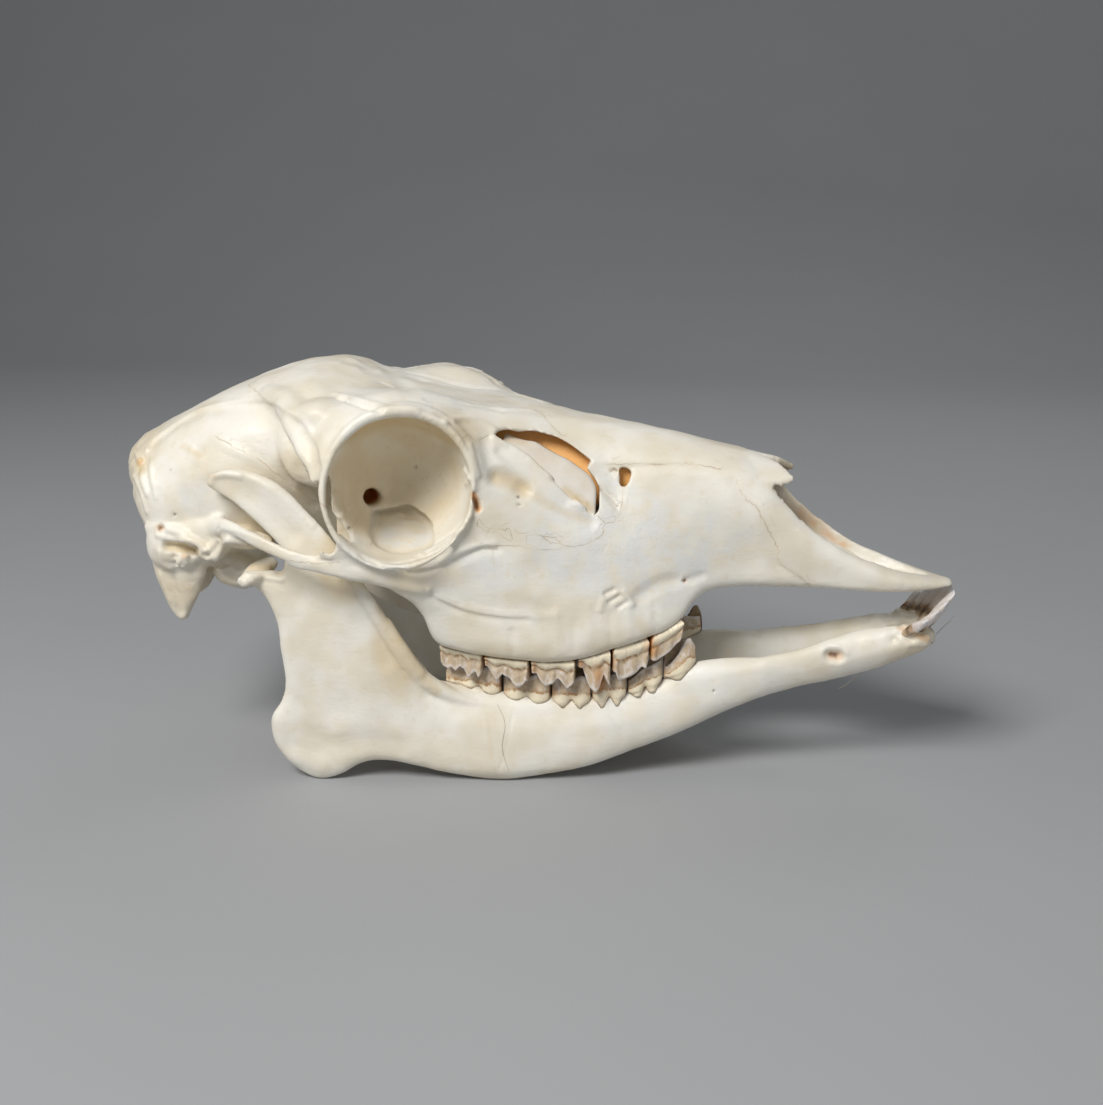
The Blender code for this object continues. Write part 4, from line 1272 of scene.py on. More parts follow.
# Half outlines of the face: top, trough, brow, orbit edge, side, cheek, crest, gum, palate.
FACE = {
    -60: [(0, 125.6), (15, 124), (29, 120.4), (44, 115), (54, 103), (54.8, 86), (50.8, 74.6), (17, 70),
        (0, 62)],
    -56: [(0, 124.4), (14, 122.8), (29, 120.2), (43.5, 117.2), (54, 105), (55, 88), (50.2, 72.8), (16, 66),
        (0, 57)],
    -50: [(0, 122.4), (14, 121.3), (28, 121.2), (41.5, 119.6), (52, 108), (52.8, 88), (48, 69.6), (15, 62),
        (0, 52)],
    -43: [(0, 120), (13, 119.4), (27, 122.4), (39.8, 120.8), (49.4, 109), (50, 88), (45.2, 66), (16, 59),
        (0, 50)],
    -37: [(0, 118.6), (13, 118.3), (26, 122.4), (40, 119.8), (47.8, 110), (47.2, 88), (42.2, 61.8),
        (22, 57), (0, 49.5)],
    -31.5: [(0, 117.7), (12.5, 117.5), (25, 120.8), (38.4, 118.4), (46, 110.5), (44.6, 88), (39.5, 59.8),
        (30.5, 45.5), (0, 49.5)],
    -26: [(0, 116.8), (12, 116.7), (24, 118.8), (35, 116.4), (42.8, 109), (42.6, 88), (37.8, 58.4),
        (31.8, 43), (0, 50)],
    -20: [(0, 116), (11.5, 115.9), (22, 116.2), (31, 113.6), (38.6, 105.5), (40.4, 88), (37.2, 58.4),
        (32.2, 41.8), (0, 50.2)],
    -14: [(0, 115.3), (11, 115.1), (20, 114.4), (27.5, 110.6), (34.4, 103), (37.6, 87), (36.7, 58.3),
        (32.4, 41.2), (0, 50.5)],
    -6: [(0, 114.2), (10, 113.8), (18, 112.3), (25, 107.5), (31, 98), (35, 82), (36, 57.5), (32.3, 40.4),
        (0, 50.5)],
    4: [(0, 112.4), (8.5, 111.9), (15.5, 109.8), (21.5, 104.5), (27.5, 94), (32, 80), (34.4, 56.8),
        (31.6, 40), (0, 50)],
    14: [(0, 110.8), (7.5, 110.3), (13.5, 107.8), (18.5, 102), (24.5, 91), (29.5, 77), (32.4, 57),
        (30.4, 41.2), (0, 50)],
    24: [(0, 109.2), (7, 108.5), (12.5, 105.8), (17, 100), (22, 89), (26.5, 75), (29.2, 59), (28.6, 44),
        (0, 51)],
    34: [(0, 107.3), (7, 106.5), (12.5, 103.8), (16.5, 98.5), (20.3, 88), (23.3, 75), (25.2, 61.5),
        (25.4, 46.8), (0, 53.6)],
    43: [(0, 105.5), (7, 104.7), (12.3, 102.2), (15.9, 97.7), (18.9, 88), (20.6, 77), (21, 65.5),
        (21, 51.2), (0, 56.6)],
    47.5: [(0, 104.6), (7, 103.8), (12.2, 101.5), (15.6, 97.1), (18.3, 88), (19.5, 77.5), (19, 66.5),
        (18.2, 57.4), (0, 58)],
    52: [(0, 103.7), (7, 102.9), (12, 100.7), (15.3, 96.5), (17.7, 88), (18.4, 78), (17.5, 68),
        (15.4, 60.4), (0, 58.8)],
    60: [(0, 102), (6.5, 101.3), (11.5, 99.3), (14.6, 95.5), (16.8, 87.5), (17.2, 79), (16.3, 70),
        (13.8, 61.8), (0, 59.8)],
    68: [(0, 96.5), (6, 96.2), (10.5, 95), (13.5, 92), (15.6, 86), (15.9, 79), (15, 70), (13, 62.2),
        (0, 60)],
    75: [(0, 87.6), (6, 87.6), (9.8, 87.4), (12.4, 86.2), (14.4, 82), (14.9, 76), (14.2, 69), (12.2, 62),
        (0, 60)],
    84: [(0, 79.4), (6, 79.4), (9.2, 79.2), (11.4, 78.4), (13, 75.6), (13.6, 71.8), (13.2, 67),
        (11.8, 61.6), (0, 60)],
    94: [(0, 72.8), (6, 72.8), (9, 72.6), (11.2, 72), (12.4, 70.4), (12.8, 68.4), (12.6, 65.2),
        (11.4, 61.4), (0, 60.3)],
    104: [(0, 68.2), (5, 68.2), (8.4, 68.1), (10.4, 67.6), (11.8, 66.6), (12.2, 65.2), (11.8, 63.2),
        (10.4, 61.2), (0, 60.6)],
    113: [(0, 65.6), (3, 65.6), (5.6, 65.5), (7.8, 65.1), (9.4, 64.4), (9.9, 63.4), (9.4, 62.2), (8, 61),
        (0, 60.8)],
    120: [(0, 64.2), (2, 64.2), (3.8, 64.1), (5.4, 63.8), (6.6, 63.2), (7, 62.5), (6.6, 61.7), (5.4, 61),
        (0, 60.8)],
    125.5: [(0, 63.2), (1, 63.2), (2, 63.1), (2.8, 62.9), (3.3, 62.6), (3.5, 62.2), (3.2, 61.8),
        (2.4, 61.5), (0, 61.4)],
}

# Half outlines of the empty room inside the nose, and of the channel behind the palate.
NOSE_ROOM = {
    -16: [(0, 100), (4, 99), (7, 94), (8, 86), (7, 78), (4, 74), (0, 73)],
    -6: [(0, 107), (8, 106), (14, 99), (17, 88), (16, 76), (9, 68), (0, 66)],
    10: [(0, 106), (8, 105), (14, 98), (19, 87), (18, 75), (10, 66), (0, 64)],
    30: [(0, 103.5), (8, 102), (13, 96), (16, 86), (15, 75), (9, 66), (0, 64)],
    50: [(0, 100.5), (7, 99), (11, 94), (13, 85), (13, 75), (8, 66), (0, 64)],
    64: [(0, 99), (6.5, 98), (10.5, 93), (12.3, 84), (12, 75), (8, 66), (0, 64)],
    72: [(0, 104), (7, 104), (11, 96), (11.6, 83), (11, 73), (8, 66), (0, 64)],
    82: [(0, 100), (7, 100), (10.4, 90), (10.4, 80), (9.8, 72), (7, 65.5), (0, 64)],
    96: [(0, 92), (6, 92), (8.8, 84), (9, 76), (8.4, 69), (6, 64.5), (0, 63.4)],
    106: [(0, 86), (5, 86), (6.8, 80), (7, 73), (6.6, 67.5), (5, 64.2), (0, 63.2)],
    113: [(0, 82), (2.5, 82), (4, 78), (4.2, 72), (3.8, 66.5), (2.5, 63.8), (0, 63.2)],
    118: [(0, 80), (0.8, 80), (1.4, 76), (1.5, 71), (1.4, 67), (0.9, 64.6), (0, 64.2)],
}
THROAT_ROOM = {
    -78: [(0, 60), (3, 59), (5, 55), (5, 50), (5, 42), (3, 38), (0, 37)],
    -68: [(0, 66), (6, 64), (9.5, 58), (10, 50), (10, 42), (6, 38), (0, 37)],
    -52: [(0, 65), (6, 63), (9.5, 57), (10, 50), (10, 42), (6, 38), (0, 37)],
    -36: [(0, 62), (6, 60), (9.5, 55), (10, 49), (10, 42), (6, 38), (0, 37)],
    -28: [(0, 56), (4, 55), (6, 52), (7, 48), (7, 42), (4, 38), (0, 37)],
}
NECK_OPENING = [
    (-140, 0, 69, 11.5, 10.5),
    (-126, 0, 70.5, 10.2, 9.6),
    (-116, 0, 73, 10, 10),
    (-104, 0, 80, 14, 14),
    (-94, 0, 86, 9, 9),
]

# Tubes on the left half: x, y, z, radius across, radius up.
WING = [
    (-84, 22, 118, 4, 4), (-77, 28.5, 117.4, 5, 4.4), (-71, 35, 115, 6, 4.6), (-66, 41.5, 111, 6.4, 4.4),
    (-62, 47.5, 105.2, 5, 3.4), (-59.4, 51.4, 98.4, 3, 2.4),
]
PASSAGE = [
    (-78, 46, 89, 4, 7),
    (-72, 46.4, 88, 5, 9.6),
    (-66, 46.6, 87, 5.4, 11),
    (-60.5, 45.8, 86.6, 5.4, 11),
    (-54, 43.6, 87, 4.6, 9.5),
]
UNDER_ORBIT = [(-74, 34, 61, 17, 9), (-58, 33, 58.5, 16, 9.5), (-46, 31, 54, 13, 8), (-39, 30, 50, 8, 6)]
BAR_HOLLOW = [
    (-64.2, 53, 79.5, 2.6, 3),
    (-63.6, 55, 86, 2.9, 4),
    (-63.2, 55.6, 93, 2.9, 4.4),
    (-62.6, 55, 100, 2.6, 4.4),
    (-61.6, 54.4, 106, 2, 3.6),
]
OPTIC_CANAL = [(-52, 22, 87, 3.2, 2.6), (-57, 12, 85.8, 3, 2.4), (-61, 4, 85, 2.8, 2.2)]
ARCH = [
    (-101, 32, 78, 3.4, 4.4), (-95, 39, 80.6, 2.6, 3), (-89, 44.6, 81.4, 1.5, 2.1),
    (-82, 48.4, 79.9, 1.2, 2), (-75, 50.4, 77.4, 1.2, 1.9), (-68, 51.4, 75.3, 1.2, 1.8),
    (-60, 51.6, 74.4, 1.3, 1.8), (-53, 51, 73.6, 1.6, 2),
]
JUGAL_STRIP = [
    (-70, 50.6, 73.4, 0.8, 0.8), (-66, 51, 73, 1.2, 1.3), (-60, 51.4, 72.6, 1.6, 1.8),
    (-54, 51, 71.6, 1.9, 2), (-48, 48.8, 69.6, 1.7, 1.9), (-41, 45.4, 67.6, 0.8, 0.9),
]
JUGAL_LOW = [
    (-66, 51.4, 74.2, 1.2, 1.4), (-60, 51.6, 73.8, 1.8, 2.2), (-53, 50.4, 72.6, 2.3, 2.6),
    (-46, 47.4, 69.8, 2.4, 2.8), (-38, 43.4, 66.6, 2, 2.4), (-30, 40, 63.6, 1.4, 1.6),
]
EAR_SPIKE = [
    (-113.5, 30, 72, 5, 9.5),
    (-113.5, 30, 65, 3.8, 9.2),
    (-114, 29.8, 59, 3, 7.6),
    (-114.6, 29.2, 53, 2.4, 4.8),
    (-114.6, 28.6, 49, 2, 2.8),
    (-114.2, 28.3, 46.6, 1.2, 1.2),
]
EAR_PIPE = [(-105, 26, 68, 3.6, 3.6), (-108, 31.5, 68.2, 2.9, 2.9), (-110.4, 36, 68.2, 2.4, 2.4)]
EAR_SHELF = [
    (-122, 30.5, 76.8, 3, 3), (-116, 33.2, 77.8, 3, 2.4), (-109.6, 34.6, 77, 3.2, 2.4),
    (-105, 35, 74, 3.2, 2.6), (-101.5, 35, 71, 3.2, 2.8), (-98, 35.4, 72.6, 3.4, 3),
    (-95, 35.6, 76.4, 3.4, 3.4),
]

# Small lumps that are added once the holes are cut: centre and radii.
JUGAL_KNOB = ((-54.5, 50.8, 74.4), (4, 2.2, 3))
EAR_LUMPS = [
    ((-104, 32.5, 77), (11, 4.4, 6)),
    ((-99, 24, 62), (3.4, 3.2, 3.2)),
    ((-94, 24.6, 64), (3.6, 3, 3.4)),
    ((-90.5, 22.5, 61.5), (3.2, 3, 3)),
    ((-96.5, 22, 58.6), (3.6, 3, 2.8)),
]

# Oval lumps of the left half: centre, radii and turns. First those of the condyle, ear, bulla and joint.
SKULL_LUMPS = [
    ((-116.5, 13, 61.5), (8, 7.5, 12), (24, 14, 0)),
    ((-115, 29.5, 72), (9.5, 7.5, 9.5), (0, 0, 0)),
    ((-97, 21.5, 63), (9.5, 7, 7), (0, 0, 0)),
    ((-88, 35.5, 75.8), (8, 11, 3), (14, 0, 0)),
]
BROW_LUMPS = [
    ((-62, 37, 115.4), (8, 8, 4.6), (0, 0, 0)),
    ((-70, 29, 104), (9, 6, 13), (24, 0, -38)),
]

# Side outlines as x and z.
BLADE_ROOM = [
    (-86, 58), (-50, 57), (-46.5, 64), (-52, 74), (-58, 83.5), (-66.5, 92.5), (-77, 99.6), (-88, 101.6),
    (-97, 100.4), (-101.4, 96.4), (-100.4, 91.4), (-92, 84.5), (-85, 77),
]
BLADE_ROOM_MIDDLE = 39.8
BLADE_ROOM_HALF = 4.3
THROAT_WING = [(-70, 68), (-66, 60), (-56, 52.5), (-44, 48), (-30, 47.5), (-26, 58), (-44, 66)]
THROAT_WING_MIDDLE = 11.8
THROAT_WING_HALF = 1.2
NOSE_WALL = [(-12, 70), (-12, 104), (10, 108), (34, 103), (50, 97), (60, 84), (74, 68), (72, 62), (30, 60)]
NOSE_WALL_HALF = 0.9
NOSE_SCROLLS = [
    [(0, 10, 84, 3, 5.5), (20, 9, 82, 3.6, 6), (40, 7.6, 80, 3.6, 6), (60, 6.2, 77, 3.2, 5.4),
        (76, 5.6, 73, 2.4, 4.2), (90, 4.6, 69, 1.6, 3), (98, 4, 66, 1, 1.6)],
    [(-16, 8, 97, 3, 5), (-4, 8, 95, 3.4, 6), (10, 7.6, 92, 3.4, 6.4), (24, 7, 90, 3.2, 6),
        (34, 5.6, 90.5, 2.2, 4), (56, 4.4, 91.5, 1.6, 2.2)],
]

# Outlines of the nasal bones' free ends: x, then y and z from the middle outwards.
NASAL_TIP = [
    (46, [(0.2, 104.7), (5, 104), (10, 101.6), (14.6, 97.6)]),
    (55, [(0.2, 103), (5, 102.4), (9.6, 100.2), (14, 96.6)]),
    (62, [(0.2, 101.4), (5, 100.8), (9.4, 98.8), (13.4, 95.4)]),
    (67, [(0.6, 100.2), (5.2, 99.5), (9.2, 97.8), (12.8, 94.8)]),
    (71, [(3.6, 98.8), (6.6, 98.2), (9.4, 97), (12, 94.8)]),
    (74, [(7.4, 97), (8.6, 96.7), (9.8, 96.2), (11, 95.2)]),
    (75.6, [(9.4, 96), (9.8, 95.9), (10.2, 95.7), (10.6, 95.4)]),
]

# The opening in front of the orbit and the small one before it, in picture points.
CHEEK_OPENING = (
    (492, 435), (497, 431), (502, 429.7), (508, 428.7), (514, 430), (519, 431.2), (524, 430.4),
    (530, 430.2), (538, 431.3), (550, 434.7), (558, 437.5), (570, 444.7), (578, 450.3), (587, 457.5),
    (594, 461.6), (590, 463.5), (584, 466), (588, 470), (594, 477), (598, 486), (599, 498), (598, 510),
    (594, 515), (591, 513), (580, 504.5), (570, 497), (560, 488), (550, 478), (540, 468), (530, 458),
    (518, 450), (505, 443.5),
)
CHEEK_TRIANGLE = (
    (617, 466.5), (622, 467.2), (632, 470), (629, 480), (624.5, 488), (620.5, 486), (621, 478),
    (620.5, 473),
)

# Thin shells in the first one: two edges as picture points with their distance across, and the bulge
# between them.
CHEEK_SCROLL = (
    ((506, 434, 19), (523, 440, 20), (535, 442, 20.5), (547, 449, 21), (558, 455, 21.4), (568, 460, 21.8),
        (578, 467, 22), (587, 473.5, 22.2), (592, 480, 22.6), (595.5, 488, 23), (596, 498, 23.4),
        (595, 513, 24.2)),
    ((500, 448, 27), (512, 453, 26.6), (523, 461, 26), (533, 470, 25.6), (543, 478, 25.4),
        (552, 487, 25.2), (561, 495, 25), (570, 502, 24.8), (578, 509, 24.4), (585, 514, 24.2),
        (590, 518, 24.2), (594, 522, 24.2)),
)
CHEEK_SCROLL_BULGE = 0.9
SCROLL_TINTS = {Tint.COOL: 0.35, Tint.WARM: 0.12}
# Warm patches of the scrolls: line in picture points, reach, strength. The first is tan painted shade under
# the scroll's fold.
SCROLL_STAINS_AND_SHADE = [(((566, 491), (578, 500), (590, 508)), 2.6, 0.95), (((508, 440), (524, 444)), 2.4, 0.5)]
INNER_WALL = (
    ((487, 431, 14), (505, 424, 13.6), (525, 426, 13), (545, 429, 12.4), (565, 437, 12.2),
        (585, 451, 12.4), (605, 460, 12.8), (636, 465, 13)),
    ((492, 450, 17), (512, 462, 17), (532, 474, 17), (552, 486, 17), (572, 496, 16.6), (592, 504, 15.8),
        (612, 502, 14.6), (636, 494, 13.6)),
)
INNER_WALL_BULGE = 0.6

# More cuts along the sight lines of the photograph, in picture points.
BAR_CUT = (
    (325, 477), (326.5, 485), (328.5, 494), (331.5, 508), (333.5, 522), (335, 536), (336, 548), (333, 555),
    (322, 551), (306, 543), (294, 524), (296, 506), (305, 494), (315, 485),
)
JUGAL_CUT = (
    (326, 566), (338, 567), (350, 571.5), (362, 578), (374, 586), (386, 593), (392, 600), (376, 606),
    (350, 604), (330, 590),
)
# Each cut with its outer and inner distance across.
SIGHT_CUTS = [(CHEEK_OPENING, (46, 9)), (CHEEK_TRIANGLE, (46, 9)), (BAR_CUT, (66, 40)), (JUGAL_CUT, (62, 42))]
# The lower hollow of the orbit, with its distance across at each point, and its reach out and in from there.
ORBIT_HOLLOW = (
    (372, 512, 22.2), (384, 510, 19.1), (400, 507, 17), (412, 508, 18), (420, 513, 20), (428, 522, 23.1),
    (431, 533, 28.2), (427, 543, 33), (418, 551, 38), (405, 554, 40), (390, 553, 40), (376, 547, 38),
    (370, 537, 34), (369, 524, 27),
)
ORBIT_HOLLOW_DEPTH = (4, 5)

# Soft tints of the bone: centre on the left half, radii, strength.
BONE_TINTS = {
    # Warm: real stains, and tan painted shade deep in the hollows of the orbit, temple, ear, nose and under
    # the arch.
    Tint.WARM: [
        ((-42, 24, 96), (26, 20, 22), 0.42), ((-38, 34, 110), (24, 14, 10), 1),
        ((-58, 34, 90), (14, 16, 16), 0.5), ((-72, 34, 92), (12, 12, 16), 0.4),
        ((-86, 36, 76), (14, 12, 7), 0.7), ((-112, 20, 60), (20, 16, 16), 0.55),
        ((34, 8, 84), (46, 11, 18), 0.8), ((66, 6, 92), (16, 8, 7), 0.9), ((0, 30, 42), (46, 12, 7), 0.3),
        ((-124, 10, 96), (14, 24, 12), 0.35), ((-30, 42, 68), (18, 8, 5), 0.35),
    ],
    Tint.ORANGE: [
        ((-59, 8, 85.4), (9, 9, 5), 0.9), ((80, 4, 80), (26, 8, 10), 0.35),
    ],
    Tint.COOL: [
        ((34, 26, 76), (60, 16, 22), 0.85), ((-16, 38, 70), (22, 10, 9), 0.6),
        ((-30, 20, 120), (40, 30, 10), 0.3), ((-104, 34, 88), (9, 8, 8), 0.5),
        ((-42, 26, 77), (12, 10, 6), 0.9),
    ],
}
# Patches on the bone: line in picture points, reach, strength.
BONE_BLOTS = {
    # Warm: real stains, and tan painted shade in the tear pit, the hollows under the ear crest and the arch,
    # and inside the orbit's rim.
    Tint.WARM: [
        (((140, 462), (141, 470)), 3.4, 0.9), (((183, 446), (200, 456)), 1.8, 0.6),
        (((497, 478), (510, 481), (523, 488)), 4.4, 0.9),
        (((530, 494), (560, 510), (588, 521)), 2.4, 0.45), (((640, 622), (652, 640)), 3, 0.5),
        (((610, 469), (617, 470)), 1, 0.5), (((172, 546), (196, 550)), 3.4, 0.9),
        (((224, 548), (250, 560), (268, 566)), 4, 0.7), (((338, 470), (342, 500), (346, 512)), 3, 0.8),
        (((440, 648), (485, 655), (535, 662), (580, 662), (612, 655)), 2, 0.5),
    ],
    Tint.ORANGE: [
        (((473, 495), (477, 503), (478, 510)), 1.8, 0.9), (((685, 581),), 1.3, 0.5),
        (((160, 528),), 2.2, 0.5), (((139, 462),), 2, 0.45), (((650, 639), (652, 648)), 1.8, 0.6),
        (((800, 512), (820, 528), (845, 546)), 1.6, 0.5), (((184, 556),), 1.6, 0.5),
    ],
    # Dark dots: painted shade inside small holes.
    Tint.DARK: [
        (((475, 500), (477, 507)), 1.1, 0.9), (((416, 467),), 0.8, 0.8), (((349, 528),), 0.9, 0.8),
        (((517.5, 497),), 0.6, 1), (((519, 505),), 0.6, 0.9), (((685, 581),), 0.8, 1),
        (((601, 490),), 0.6, 0.8), (((160, 528),), 1.2, 0.8), (((175, 515),), 0.6, 0.8),
        (((170, 470),), 0.5, 0.7), (((218, 528),), 0.6, 0.8),
        (((611, 471), (614, 469), (616.5, 471)), 0.55, 0.7), (((601, 490),), 0.7, 0.7),
    ],
    Tint.COOL: [
        (((600, 470), (612, 484)), 3.6, 0.9),
    ],
}


